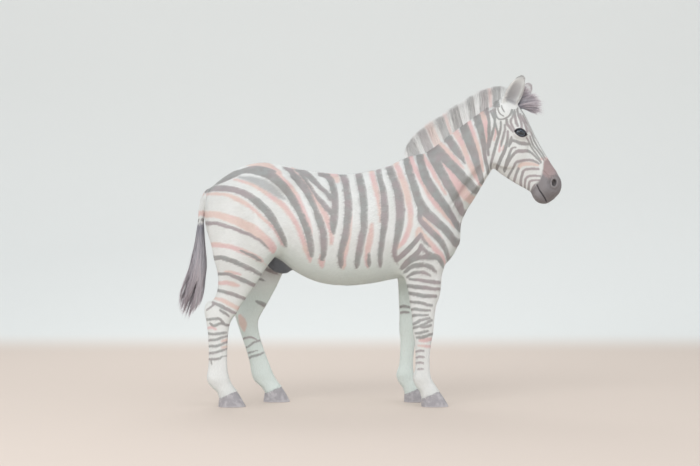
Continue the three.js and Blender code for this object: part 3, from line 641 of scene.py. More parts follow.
# the stripes, drawn from the side on a grid: "across down width ..." along each one, in squares, with ";"
# between stripes; grey and ash are the dark stripes and their paler shadow, blush the pink ones between
stripes = {
    "grey": """
228 177 1.2 240 170 1.8 252 165 2.5 264 163.5 3.6 276 165 4.2 286 169 4.5 292 175 5 299 181.5 6 306 190 6.3
311.5 200 5.5 316 210 4.8 320 220 7 323 230 6.5 324.3 240 6.8 324.3 250 6 323 259 4; 290 169 2 300 173.5 3.5
308 177 4.5 315 182.5 4 322 188.5 3.5 327 193 4 331 199 4; 300 176 1.5 306 181 2.5 312 189 2.5 317 196 3.5
322 202 5 327 208 5 332 213 4; 319.5 177 2.5 326 178 4 331 182 5.5 334 189 6 335 197 6.3 335.5 205 6.3
335 213 7 334 221 7 333.5 228 5.5 334 233 3; 339 173 5 343 178 6 346 184 6.5 347.5 192 6.5 348.5 202 7
348.5 212 7.5 347.5 222 7 346.5 232 6.5 344 242 6.5 341.5 252 6 341 262 5 341.5 271 2; 357 172 6 360 180 7
362 188 7.5 363.5 197 7.5 364.5 207 7 364.5 217 7 364.5 227 6.5 362.5 237 6.5 360.5 247 6.5 358.5 257 6
357.3 266 4.5 357.8 273 3 358 277 1.5; 377.5 168 5 380 178 5 382.5 187 5.5 384 196 6.5 385 206 7 385 216 7.5
384.5 226 6.5 383 236 5.5 381.8 246 4.5 380.5 256 4.5 380.5 266 4 381.5 272 3.5 382.5 279 2; 369.5 253 1.5
369.5 262 3.5 369.3 269 2.5 369 273 1; 386.5 163 8 391 172 7.5 394.5 180 7.5 397.5 189 7.5 399.5 198 8.5
400.8 208 8.5 400.5 218 8 399.3 228 7 397.5 238 6 395.5 247 5 395 254 4.5 396.5 260 4 398 266 2; 398 149 2.5
402 153.5 3 405.5 158 4 407 163 6.5 409.5 170 7 412 179 7 415 188 7.5 418 197 8 422 206 9 428 214 9
436 221 8 444 228 7.5 450 235 7 454 242 5 455.5 248 2; 420 206 4 420.2 216 4 421 221 4.5 426 226 5.5
433 233 5.5 440 240 5.5 445 248 4.5 447.5 255 3.5 448 261 1.5; 421 234 3 416 241 4.5 410 248 5 404 254 5
399 259 4 397.5 262 2; 421 235 2.5 426 242 2.2 431 247 1.2; 421.5 245 3 419 251 4 413 257 5 408 262 5
403 267 4.5 401 270 2; 422 246 3 427 252 3.5 433 255 4 438 257.5 4.5 441.5 262 4 443 267 1.5; 408 262 4
416 258 4.5 424 256.5 4.5 431 257 4 436 257.5 3; 405 272 2 411 267 3.5 417 265 4.5 424 264.5 4.5 431 267 4.5
436 271.5 2; 407 277 1.5 412 273.5 2.5 418 272 2.8 425 272.5 2.8 430.5 275.5 1.5; 410 279 2 418 279.5 2.5
426 281 3 433 281.5 3.5 439 282.5 3; 402 286 3 411 286 3.5 419 287 3.5 427 287.5 3.5 433 288.5 3
439 289 2.5; 404 292.5 2 412 293.5 3 420 295 3.5 428 296 3.5 436 296 3; 408 300.5 1.5 414 302 2.5
421 302.5 2.8 427 304.5 2.5 432 305 2; 409 310 2 415 309 2.5 422 310 2.3 430 310 1.8; 411 316 2 417 315 2.3
423 315 2 428 314.5 1.5; 409 325 2 415 323 2.2 421 320 2.2 430 318 1.8; 413 328 1.8 419 326 2.2 425 323.5 2
432 320 1.8; 420 326 1.5 424 327.5 2 431 325 2; 416 333 1.8 422 332.5 2.2 428 331 1.8; 417 337 2 423 337 2.5
429 335 2 433 333 1.5; 415 352 1.2 419 350.5 1.8 424 351 1.2; 416 357.5 1.2 420 356.5 1.8 424 357 1.3;
416 363 1.2 420 362.5 1.7 423.5 363 1.2; 417.5 369 1.2 421 368.5 1.5 423.5 369 1.1; 214 186.5 1.5
222 183 2.5 230 179 3 238 174 4 246 171.5 4.5 255 171.5 6 264 173 7.5 272 176.5 8 279 182 8 285 188 8
291 196 7.5 296 204 7 300 212 6 304 221 6.5 307.5 230 6.5 310 240 6.5 311.5 248 6 312 256 3; 202 192 3.5
211 190 4 220 188.3 5 228 188.3 5.5 236 190 5.5 244 193 6 252 197.5 6.5 260 204 7.5 267 211 7.5 273 219 7
278 227 5.5 282 235 5 285 242 4.5 286.5 250 2.5; 202 219.5 2.5 212 222 3 220 224 3.3 230 227 3.3 240 230.5 3
250 234.5 2.5 258 239 2.2 264 244 1.8 269 249 1; 240 250 1 248 253.5 2.2 256 257.5 2.6 263 262.5 2.2;
213 257.5 3 223 257.8 4 231 260 4 239 263.5 4 247 267 4 255 271 3.5 262 275 2; 219 274 2 228 274 2.5
236 277 3.3 244 280.5 3.8 252 284 3.5 257 287 2.5; 216 289.5 2.5 226 292 3 234 294.5 3.2 242 297.5 3
249 300.5 2; 213 302 2 219 305 3 226 308.5 3 232 311.5 2.5 237 313.5 1.5; 207 310 1.3 211 306.5 1.7
214 304 1.5; 220 310 1.5 225 313 2 229 316 1.5; 206 319.5 2 213 319 2.3 218 318 2 222 321 2 225 324.5 2.3
230 325 1.5; 210 323 1.5 214 325.5 2 219 323.5 2 224 324 2; 207 333 2 216 334 2.3 226 332.5 1.8; 208 340 2
216 339.5 2.2 222 337.5 1.8 228 336 1; 208 346 2 216 346 2.2 222 344 1.8 229 341 1.2; 208 353 1.8 216 352 2
222 350 1.8 228 348.5 1; 208 359 1.8 216 359 1.8 221 358 1.5 222 356.5 1 229 355 1; 211 360 1.2 212 364 1;
405 141 4 410 146.5 6 415 151.5 6.5 419.5 156.5 7 421.5 163 7 423 169 8 426 177 8.5 431 186 8.5 437 195 8
443 203 7.5 449 212 7 454 220 5.5 457 227 4 459.5 237 1.5; 430 150 8 434 158 9.5 438 166 9 443 175 8.5
448 184 8.5 453 192 8.5 457 200 8 460 207 7 462.5 216 3; 411 128 5 417 133 6.5 423 137.5 7.5 430 143 9
437 150 10.5 444 157 9.5 451 164 8.5 458 171 8.5 464 178 8.5 470 184 8.5 475 190 7 479 196 3; 426 113 8
431 120 8.5 436 126 8.5 442 131 8 448 138 8.5 453 145 8.5 458 152 7 462 158 4 465 163 1.5; 441 99 9
447 107 8 453 113 7.5 459 118 7.5 463 124 8.5 466 132 9 469 140 9 472 148 8.5 475 156 7.5 477 164 6.5
479.5 172 5.5 481.5 180 4.5 482.5 188 2; 464 90 6 468 97.5 6 471 104 6.5 474 110 7 477 117 7 479.5 125 7
481.5 133 6 483 141 5 484 149 4 485 157 3.5 486.5 165 3 488.5 174 2.5; 479 84 9 482 93 9 483.5 99 8.5
485 105 7 487 111 4 488.5 117 2.8 489.2 124 2.8 489 131 2.6 488.8 138 2 488 147 2.4 488.5 155 1.6;
492.5 82 5 493.5 92 5 494.5 99 4.5 494.5 106 2""",
    "blush": """
322.5 257 6 322.3 266 5.5 322.8 276 2.5; 293 171 2.5 298 177 3 304 181 4 308 184.5 4.5 312 190 5 315 197 5.5
319 204 4.5 324 212 5.5 328 220 5.5 330 227 4.5 332 235 4.5 331.5 244 2.5; 328 176 3 335 178 6 338 182 4;
351 212 2.5 350.7 222 3.5 349.8 232 3.5 348.5 242 3.5 346.5 252 3.5 344.5 262 3.5 344 272 4 344 283 2;
370 169 4 373 178 5 375.5 186 5 377.5 194 4.5 378.8 202 3 380 210 2.5 380.5 222 1.5; 373 224 3 371.5 232 5
370 241 6 368 250 5 367.5 258 4.5 368 266 4 369.5 275 4 370 283 2; 395 163 5 400 172 6 403 180 6.5
406 189 6.5 408.3 198 6.5 410.3 208 5.5 411 217 5 410 226 5 407.5 234 5 404 241 4.5 400 246 3.5 397 249 2;
410.5 159 5 415.5 169 5 419.5 177 4 423.5 184 4 428 192 4.5 433 200 5 438 206 5.5 443 212 4.5 448 218 4
452 223 3 455 227 1.5; 423.5 219 4 430 226 4.5 437 233 4.5 441 239 3.5 443 243 2; 419.5 229 4.5 424 235 4
430 242 5 436 249 5.5 442 256 4 445 263 2; 417.5 231 3 416.5 238 2; 420 340 3 425 340 4 431 339 3;
418 345 1.5 424 346 2.5 431 346 2; 236 179.5 1.5 246 182 3 254 185 3.5 262 189.5 4 270 195 4.5 278 201 5
285 207 5.5 291 215 5 297 224 4.5 301 233 4.5 304.5 242 4.5 307 250 5 310 257 4 311 263 2; 243 167.5 2
254 167.3 3.5 262 167.5 4 270 169 4 278 174 3.5 284 180 3.5 290 186 4.5 296 194 5 300 202 5 304 211 4.5
308 220 4 311 228 3 312 235 1.5; 210 194 1.5 220 193.8 2.5 228 194.8 3 236 198 4 244 202 4 252 207.5 3.5
260 215 3 268 222 3 274 228 3 279 236 3 283 244 3.5 286.5 252 2.5; 202 213 5 212 213.5 5.5 220 215 6.5
230 218.5 7.5 240 222 8.5 248 226 9.5 256 231 9.5 264 238 9.5 270 244 9 274 250 6.5 275.5 256 3; 214 243 4
222 245 4.5 230 246.5 4.5 238 249 4.5 246 252 4.8 254 256 4.5 261 260 4.5 266 264.5 3; 226 271.5 2
233 272 2.5 241 274.5 2; 218 283 3 227 282.5 4 233 284 4.5 239 285.5 2; 215 298 2 222 300 3.5 230 304 4
238 308 3.5 244 309.5 2; 208 328 2 212 327 2.5 216 329 2; 222 341 2 229 339.5 2.5; 222 347.5 2 229 346 2;
424 157 4 428 163 4.5 432 170 4 436.5 178 3.5 441 186 3 446 194 2; 443 160 4 448 167 6 453 175 7.5
458 184 9.5 463 191 10 468 197 9 473 203 5; 425 130 3 431 135 5.5 438 142 5.5 445 149 5.5 452 156 5
458 162 4 464 168 1.5; 441 116 3 447 122 6 453 128 7 458 135 6 462 143 5.5 465 151 5 468 159 5 472 167 5.5
476 175 5.5 479 181 4 481 188 2; 466 115 3 469 122 5 472 130 5 475 138 4.5 477.5 146 4 479.5 154 3.5
481.5 162 3 483 171 2; 480.5 108 4 483.5 116 5 485.5 124 5.5 487 132 4.5 487.2 140 3 487.5 148 2; 486.5 82 5
487.5 91 5 489 98 5 490.5 105 3.5; 498 82 7 498.5 90 6 499 97 4""",
    "ash": """
240 177 2 250 179 5 260 182 8 268 186 9 275 191 8 281 196 5 285 199 2""",
    "innerGrey": """
396 308 2.5 403 306 3 409 307 2.5; 396 314 1.8 403 312 2.5 409 312 2; 256 301 2 261 303 4 266 305.5 4
271 306.5 3; 241 340 2 246 337.5 2 251 337 2 256 339 1.5; 244 348 2 249 346 2 254 342 2 261 340 2;
246 354 1.5 251 352 1.8 258 350 1; 248 358 2 253 356 2.5 259 354.5 2.2 264 352 1.5""",
    "innerBlush": """
240 316 4 243 323 8 244 330 3""",
    "faceGrey": """
498.7 102.4 0.6 498.1 108.7 0.7 500 113.7 0.7 503.7 116.1 0.6; 502.4 101.3 0.6 501.9 106.9 0.7
504.3 111.9 0.6; 496.3 103.7 0.7 495.2 110 1.1 496.7 116.3 1.1 499.1 119.3 0.9 503 119.3 0.9 506.5 118 1.1
509.1 116 1.1 510.9 113.6 1.5 512 110 1.7 512 107.1 0.9; 493.3 102 1 493.2 110 1.1 494.5 115 1.6 495 120 1.8
494.6 125 1.4 493.5 130 1.6 491.7 137 1.9 490 142 2.2 489 147 2.2; 495.5 123 1 497.3 130 1.2 498.3 135 1.4;
490.5 102 1.2 490.8 110 1 492.5 115 1.3 494 119 1.2; 501 122 1.5 501 127 1.5 500 132 1.7 498.5 137 2
497.2 141 2.2 495.8 146 2.3 494 152 2.2 492.5 158 2 491 164 1.5 491 169 1; 505 125 1.4 505.2 129 1.6
504.3 133 1.8 503 138 2 501.8 142 1.6 501 146 1; 508 131.5 1.6 507.8 137 2 507 142 2.3 505.8 147 2.5
503.8 152 2.8 501.5 157 2.8 499.3 162 2.8 497.5 166 2.5 496.5 170 1.5; 511.7 137 1.5 511 141 2.8
509.5 144.5 2 508.8 146.5 1; 511 139.8 2.6 514 140.6 2.2 517 141.7 2.2 520 143 3 524 143.5 3 528 144 2;
516 147.3 0.8 513.5 147.5 1 511.5 149 1.6 510 152 2 508.8 156 2.2 507 161 2.4 505.5 166 2.2 504 170 1.6;
541 163 0.8 539 160 1.2 536 157 1.3 533 154 1.4 530 151.8 2 527 150.7 2.6 523 151 3 518 151 2.8
515 152.8 2.2 512.5 155.5 2 510.5 158.5 1.8 508.5 162 1.8 506.5 166 2 504.5 171.5 1.4; 538.8 163.8 1.2
535.5 161.5 1.8 531 160 1.8 526 160 1.8 520 161 2 516.5 162 2 514.5 165 1.6 512.5 169 1.4 510 173.5 1.4
508 177.5 1.8 507.5 180 1.5; 518.5 168.5 2 516.5 173 2 515 178 2 513.3 183.5 1.8; 538.5 169 1.6 533 168.6 2
527 169.2 1.8 523.5 171 2 522 175 2.2 521 180 2 520.8 187 1.8; 540.5 176 1.2 535 175.6 1.4 529 176 1.6
526 178.5 1.6 525 183 1.5 524.7 189 1.2; 540.5 180.3 1.2 535 180 1.3 531 180.7 1.5 529 183 1.6 528.7 187 1.6
528 192 1.4; 535 184.5 1.2 533 187 1.2 531.5 190.5 1; 506.8 120 2 507.3 124 2.2 509 126.5 2 511.5 129.5 1.8
513.2 132 1; 513.5 112 1 512.5 117 1.5 511 120 2 511.3 123.5 2 513 127 1.8 514.7 129.8 1.2; 514 107 1.3
514.8 111 1.2 515 115 1.8 515.5 119 2 516.5 123 2 517.9 126 1.4; 517.3 108 1.5 518.3 115 1.5 520 119 1.8
521.5 124 1.8 521.9 129 1.6; 520 114 1 522.5 119.5 1.4 525 124 1.6 526.5 128 2 527.3 131.5 1.3; 523 116 1
525.5 121 1.2 528 126 1.4 529.8 131 1.2; 526.5 137.5 1 528.5 141 1.3 530.3 145 1.2 533 149.5 1.1 536 153.5 1
539 158 1 541.3 162.3 0.8; 530 136 0.9 531.7 142 1.1 534.5 147 1.1 537.5 151 1 540.5 155 1 543.7 160 0.8;
530.8 131 0.9 533 138 1 535.7 144 1 538.7 148.7 1 541.9 153 1 545.2 158.7 0.8""",
    "faceBlush": """
501.5 141 1.5 500.3 146 2 499.3 151 1.8; 538 165 2 532 164 3 525 163.8 3.5 520.5 165 3.5 518.5 169 1.6;
541 159 2 545 158.5 3 549 160 2.5; 495.7 128 1 495.7 134 2 494 140 1.6; 504 146 1.2 502.5 150 1"""}


# the size of the grid's squares, and where the point 350 across and 233 down lies, in mm
sideGrid = {"square": 5.4, "across": 350, "down": 233, "x": -103, "z": 923}


def strokes(text):
    return [np.array(row.split(), float).reshape(-1, 3) for row in text.split(";")]


def offGrid(stroke):
    # squares to whole mm: x, z and width
    across, down, width = stroke.T
    x = sideGrid["square"] * (across - sideGrid["across"]) + sideGrid["x"]
    z = sideGrid["square"] * (sideGrid["down"] - down) + sideGrid["z"]
    return np.round(np.stack([x, z, sideGrid["square"] * width], 1))


stripes = {name: [offGrid(stroke) for stroke in strokes(text)] for name, text in stripes.items()}


outside = -60.0  # mm inside a mark, where there is none
viewer = {"off": 7000, "x": -103, "z": 800}  # where the side view is drawn from, in mm


def sideView(points, towards):
    # towards: how far each point lies towards the viewer
    d = (viewer["off"] - towards) / viewer["off"]
    return np.stack([(points[:, 0] - viewer["x"]) / d + viewer["x"],
                     (points[:, 2] - viewer["z"]) / d + viewer["z"]], 1)


def smoothLine(rows, fine=3):
    # a Catmull-Rom curve through the given points
    p = np.vstack([2 * rows[0] - rows[1], rows, 2 * rows[-1] - rows[-2]])
    made = []
    for a, b, c, d in zip(p[:-3], p[1:-2], p[2:-1], p[3:]):
        for u in np.arange(fine) / fine:
            made.append(b + 0.5 * u * (c - a + u * (2 * a - 5 * b + 4 * c - d + u * (3 * (b - c) + d - a))))
    return np.array(made + [rows[-1]])


def insideMarks(view, rows, grow=0.0):
    # how far inside the nearest stripe each point lies, in mm, negative outside
    best = np.full(len(view), outside)
    for row in rows:
        line = smoothLine(row)
        low, high = line[:, :2].min(0) - 50, line[:, :2].max(0) + 50
        near = np.flatnonzero(((view > low) & (view < high)).all(1))
        q = view[near]
        inside = np.full(len(near), outside)
        for a, b in zip(line[:-1], line[1:]):
            run = b[:2] - a[:2]
            t = np.clip((q - a[:2]) @ run / (run @ run + 1e-9), 0, 1)
            gap = np.hypot(*(q - a[:2] - t[:, None] * run).T)
            inside = np.maximum(inside, (a[2] + (b[2] - a[2]) * t) / 2 - gap)
        best[near] = np.maximum(best[near], inside)
    return best + grow


def legMiddle(rows):
    return tabulate([[r[0], (r[1] + r[2]) / 2] for r in rows])


hindMiddle, hindLeftMiddle = legMiddle(hindRows), legMiddle(hindLeftRows)


def earMarks(points):
    # 1 on the ears, then mm deep in the cup, up the ear and from its rim
    part, cup, rise = np.zeros(len(points)), np.full(len(points), -30.0), np.zeros(len(points))
    rim = np.full(len(points), 60.0)
    for side in (-1, 1):
        f = earFrame(side)
        s, v, t = inFrame(f, points)
        _, half, depth = earRows(s)
        t = t + earShape["bow"] * np.clip(s, 0, None) ** 2
        mine = (s > 12) & (s < 230) & (np.hypot(v / (half + 9), t / (depth + 9)) < 1)
        mine = mine & (points[:, 2] > 1585)  # above the roots of the ears
        wall = earShape["wall"] * 0.7
        inside = np.hypot(v / (half - wall), t / np.maximum(depth - wall, 1.5)) - 1
        inside = 3.5 - inside * np.minimum(half, depth)
        part = np.where(mine, ease(14, 40, s), part)
        # painted shade: the cup counts as deeper towards its middle and its base, so that its colour darkens
        # more there
        hollow = 14 * ease(0.85, 0.3, np.abs(v) / half) * ease(195, 90, s) * (inside > 0)
        cup = np.where(mine, np.minimum(inside, (s - 44) * 0.6) + hollow * ease(46, 62, s), cup)
        rise = np.where(mine, s, rise)
        rim = np.where(mine, np.minimum(0.18 * depth - t, earShape["length"] - s), rim)
    return part, cup, rise, rim


def legShift(points):
    # how far the left legs stand from where the right ones do
    x, y, z = points.T
    fore = ease(130, 200, x) * ease(1040, 900, z)
    hind = ease(-400, -470, x) * ease(1080, 960, z)
    z = np.clip(z, 48, 1080)
    shift = fore * foreShift(z)[1] + hind * (hindLeftMiddle(z)[1] - hindMiddle(z)[1])
    return shift * ease(0, 55, y)


def headTwin(points):
    # both sides of the face share the right side's marks
    a, v, t = inFrame(headFrame, points)
    return toWorld(headFrame, a, -np.abs(v), t)


# how far forward the breast and throat reach at each height
breastEdge = [(720, 600), (780, 450), (820, 466), (860, 486), (940, 492), (980, 501), (1020, 518),
              (1060, 540), (1100, 566), (1140, 590), (1180, 615), (1220, 700)]
# how far back the bare muzzle reaches, from the chin up to the bridge
muzzleEdge = [(-122, 298), (-85, 281), (-41, 268), (0, 229), (27, 190)]


def wobble(points, size, seeds):
    return np.stack([noise(points, size, seed) for seed in seeds], 1)


def markings(points, normals):
    # mm inside the grey, blush and ash stripes, the muzzle, the ear cups and the groin; shares of painted
    # shade and, on the muzzle, of its bridge, the nostrils' rims and the mouth's line, which carries painted
    # shade in the nostrils
    out = {}
    x, y, z = points.T
    a, v, t = inFrame(headFrame, points)
    drift = 15 * ease(40, 160, y)  # the left side's stripes wander from the right side's
    view = sideView(points, np.abs(y)) + wobble(points * [1, 0, 1], 130, (3, 4)) * drift[:, None]
    view[:, 0] -= legShift(points)
    # where the side view meets a surface edge on, the stripes of the side carry on across it
    breast = np.interp(z, *np.array(breastEdge).T) - 20
    view[:, 0] = np.where((x > 300) & (x < 700), blendMin(view[:, 0], breast, 16), view[:, 0])
    behind, above, below = -normals[:, 0], normals[:, 2], -normals[:, 2]
    view[:, 0] += 50 * ease(0.3, 1.0, behind) * ease(-560, -640, x) * ease(620, 760, z)
    view[:, 1] -= 18 * ease(0.6, 1.0, above) * ease(330, 260, x) * ease(1130, 1170, z)
    view += 2.2 * wobble(points, 26, (5, 6))
    twin = headTwin(points)
    faceView = sideView(twin, -twin[:, 1]) + 0.8 * wobble(points, 14, (7, 8))
    onFace = (a > -190) & (x > 600)
    # the inner sides of the legs have short bars of their own
    medial = ease(0.05, 0.5, -normals[:, 1] * np.sign(y))
    under = ease(820, 700, z + 0.25 * np.abs(x + 100) * (x < -300))
    inner = medial * under * (np.abs(y) > 12)
    innerView = sideView(points, -np.abs(y))
    isEar, cup, rise, rim = earMarks(points)
    notEar = np.where(isEar > 0.3, outside, -outside)
    for name in ("grey", "blush"):
        d = insideMarks(view, stripes[name], 1.4)
        f = np.where(onFace, insideMarks(faceView, stripes["face" + name.title()], 1.9), outside)
        h = np.where(inner > 0.5, insideMarks(innerView, stripes["inner" + name.title()]), outside)
        d = np.where((y > 0) & (x > 700), outside, d)
        # no stripes under the belly, or on the inner side of a leg but its own
        d = d - 40 * ease(0.5, 0.85, below) * ease(620, 700, z) * ease(420, 360, x)
        out[name] = np.minimum(np.maximum(np.maximum(d - 34 * inner, f), h - 34 * (1 - inner)), notEar)
    out["ash"] = np.minimum(insideMarks(view, stripes["ash"]) - 40 * inner, notEar)
    # a dark line along the spine, edged with white, more of it over the croup
    pale = np.interp(x, [-800, -720, -480, -370], [26, 64, 64, 26]) + 7 * noise(points, 40, 11)
    spine = ease(0.75, 0.95, above) * (z > 1130) * ease(260, 180, x)
    ridge = 9 + 2 * noise(points, 60, 10) - np.abs(y)
    out["grey"] = np.where(spine * (np.abs(y) < pale) > 0.5, ridge, out["grey"])
    # fine lines that run down the front of the face, closer together towards the nose
    pitch = np.interp(a, [-120, -60, 20, 190], [10, 13, 13, 7.5])
    wave = np.abs((v + 1.2 * noise(points, 22, 9)) / pitch % 1 - 0.5)
    lines = (0.25 - wave) * pitch + np.interp(a, [-150, -110, 175, 200], [-6, 0, 0, -8])
    front = ease(0.78, 0.93, normals @ headFrame["up"]) * onFace * (t > 0)
    out["grey"] = out["grey"] * (1 - front) + lines * front
    # a dark edge round the tip of each ear and a band on its back
    edge = 9.0 - rim + np.interp(rise, [50, 75, 130], [-60, -9, 1]) - np.clip(cup, 0, None) * 2
    band = np.where((rim > 14) & (cup < 0), 14 - np.abs(rise - 132), outside)
    out["grey"] = np.where(isEar > 0.3, np.maximum(edge, band), out["grey"])
    out["cup"] = cup - 5
    # painted shade: a cool, slightly darker tint on the underside and on the inner sides of the legs, where
    # less light falls
    out["shade"] = np.maximum(inner, 0.9 * ease(0.15, 0.75, below) * (x < 600))
    out["groin"] = np.where(x < -380, 9 - sheath[0](points), outside)
    out["muzzle"] = np.where(onFace, a - np.interp(t, *np.array(muzzleEdge).T), outside)
    ring = np.minimum(*[shape[0](points) for shape in nostrils])
    mouth = insideMarks(faceView, strokes(creases["face"][0][0]))
    # painted shade: a dark line along the mouth's crease, partly the lips' own dark and partly shade, and
    # darkness down inside the nostrils
    line = np.maximum(ease(-2.5, 1.5, mouth), ease(0.5, -3, ring)) * (a > 200)
    out["nose"] = np.stack([ease(-20, 14, t + 0.28 * (300 - a)) * ease(335, 235, a),
                            ease(13, 5, ring) * (a > 250), line], 1)
    return out


# creases pressed into the skin: "x z width ..." along each one from the side, then its depth in mm
creases = {
    "body": [
        ("-779 745 26  -786 690 24  -800 640 20  -818 580 14", 7.0),  # before the tendon above the hock
        ("268 360 9  267 300 8  267 230 8  268 180 7", 3.0),  # before the tendons of the fore cannon
        ("-822 420 9  -823 350 8  -822 280 8  -820 190 7", 3.0),  # and of the hind one
        ("196 850 20  214 815 16  240 790 12", 5.0),  # behind the elbow
        ("-395 860 22  -372 800 18  -352 740 14", 5.0),  # fold of the flank
        ("330 930 60  352 980 60  362 1040 50", 4.0),  # between the shoulder and the breast
        ("120 1010 80  150 930 80  196 870 60", 5.0),  # behind the shoulder
        ("-560 1010 90  -520 920 90  -480 840 60", 5.0),  # front of the thigh's muscle
        ("-700 1010 80  -706 930 80  -716 850 60", 5.0)],  # between the thigh's muscles
    "face": [
        ("903 1190 4  918 1158 5  931 1139 6  945 1117 6  957 1094 6", 6.0),  # mouth
        ("939 1258 7  955 1242 8  968 1222 8  971 1190 7", 3.2),  # fold behind the nostril
        ("888 1196 10  902 1212 9  924 1222 8", 1.4),  # corner of the mouth
        ("742 1478 8  752 1496 8  770 1508 7  792 1512 6", 1.6),  # above the eye
        ("752 1440 7  776 1430 7  800 1430 6", 1.2),  # below the eye
        ("846 1362 12  866 1330 10  890 1290 8", -1.6)]}  # vein down the side of the face


def creaseDepth(points):
    view = sideView(points, np.abs(points[:, 1]))
    view[:, 0] -= legShift(points)
    twin = headTwin(points)
    faceView = sideView(twin, -twin[:, 1])
    a, v, t = inFrame(headFrame, points)
    onFace = a > -190
    depth = np.zeros(len(points))
    for where, rows in creases.items():
        for line, deep in rows:
            line = strokes(line)
            half = line[0][:, 2].max() / 2
            cut = deep * ease(-half, half, insideMarks(view if where == "body" else faceView, line))
            depth = np.where(onFace == (where == "face"), depth + cut, depth)
    # the raised rim of each nostril, and the fold behind it
    ring = nostrils[0][0](twin)
    rim = 2.6 * np.exp(-((ring - 5.5) / 4.5) ** 2) - 2.2 * np.exp(-((ring - 17) / 6) ** 2)
    depth -= np.where(onFace, rim, 0)
    # a shallow hollow between the nostrils and down the upper lip
    here = ease(255, 300, a) * ease(392, 360, a) * ease(-20, 20, t)
    depth += 4.0 * np.exp(-(v / 12) ** 2) * here
    return depth


def wrinkles(points):
    # fine folds where the skin moves: the throat, the elbow, the stifle and behind the jaw
    x, _, z = points.T
    q = x * 0.62 + z * 0.78
    fold = np.sin(q / 11 + 2.2 * noise(points, 60, 12)) * (0.5 + 0.5 * noise(points, 90, 13))
    here = np.zeros(len(points))
    for ahead, up, reach in ((640, 1330, 90), (215, 800, 70), (-430, 830, 80),
                             (-800, 560, 50), (290, 480, 50), (660, 1560, 60)):
        gap = np.hypot(x - ahead - legShift(points), z - up)
        here = np.maximum(here, ease(reach, reach * 0.4, gap))
    return 0.9 * fold * here


print("skin: creases and markings")
skinNormals = unit(slope)
skinVertices -= skinNormals * (creaseDepth(skinVertices) + wrinkles(skinVertices))[:, None]
skinMarks = markings(skinVertices, skinNormals)


def lieOf(points):
    # shares of the leg, neck and head in how the coat lies; the rest lies as on the body
    x, _, z = points.T
    leg = ease(760, 560, z)
    head = ease(-215, -150, inFrame(headFrame, points)[0]) * (x > 600) * (z > 1020)
    neckShare = ease(-60, 90, inFrame(neckFrame, points)[0]) * (1 - head) * (1 - leg)
    return leg, neckShare, head


def coatAttributes(points, marks, each=1):
    # each: the vertices that share a point's marks
    values = {**marks, "lie": np.stack(lieOf(points), 1), "spot": points * mm}
    return {key: np.repeat(value, each, 0) for key, value in values.items()}


# short hair on hide: dense, satin, all lying one way, so light catches it in soft streaks
coat = {
    "colours": {"white": "#e6e8e7", "cream": "#dfe1df", "grey": "#a2a09f", "greyGreen": "#a6a9a8",
                "mauve": "#aea5a7", "blush": "#dfc3c2", "peach": "#dfcbc3", "ash": "#bbbdbd",
                "shade": "#dae4e0", "bare": "#6a6f76", "muzzleHigh": "#9f8d8d", "muzzle": "#878385",
                "muzzleLow": "#757173", "nostrilRim": "#979394", "mouthLineAndPaintedShade": "#3f3c3f",
                "cup": "#cacacb", "paintedCupShade": "#9c9b9e", "tip": "#8f8b8b"},
    # how far the edge of each mark breaks up into hairs
    "fray": {"blush": 1.5, "ash": 1.5, "grey": 1, "muzzle": 2, "groin": 1, "bridge": 0.22,
             "cup": 0, "shade": 0, "tip": 0},
    # laid on, with, where which mark or cloud of tone goes from, to, most share, how the edge fades
    "washes": [
        ("white", "cream", "broad", 0.35, 0.7, 1, soft),
        # painted shade on the underside and the inner legs
        ("white", "shade", "shade", 0, 1, 0.85, even),
        ("blush", "peach", "broad", 0.4, 0.6, 1, soft),
        ("white", "blush", "blush", -5, 6, 0.95, soft),
        ("white", "ash", "ash", -9, 8, 1, soft),
        ("grey", "greyGreen", "middle", 0.35, 0.65, 1, soft),
        ("grey", "mauve", "broad", 0.45, 0.65, 1, soft),
        ("white", "grey", "grey", -2.2, 2.2, 1, soft),
        ("white", "cup", "cup", -2, 5, 1, soft),
        # painted shade, darker deeper in the ear's cup
        ("white", "paintedCupShade", "cup", 1, 20, 0.65, soft),
        ("muzzle", "muzzleLow", "muzzle", 30, 90, 1, soft),
        ("muzzle", "muzzleHigh", "bridge", 0.25, 0.85, 1, soft),
        ("muzzle", "nostrilRim", "nostril", 0, 1, 0.5, even),
        # the mouth's dark line and painted shade inside the nostrils
        ("muzzle", "mouthLineAndPaintedShade", "mouth", 0, 1, 1, even),
        ("white", "muzzle", "muzzle", -12, 8, 1, soft),
        ("white", "bare", "groin", -6, 4, 1, soft),
        ("white", "tip", "tip", 0, 1, 1, even)],
    "clouds": {"broad": (150.0, 2.0), "middle": (34.0, 2.0), "close": (7.0, 3.0)},  # mm across, detail
    "hair": 2.4,  # mm between the drawn streaks: real hairs, 0.1 mm apart, are too fine to show
    "pores": 420.0,  # to the metre, again coarse enough to show
    "rough": 0.62, "bareRough": 0.5}


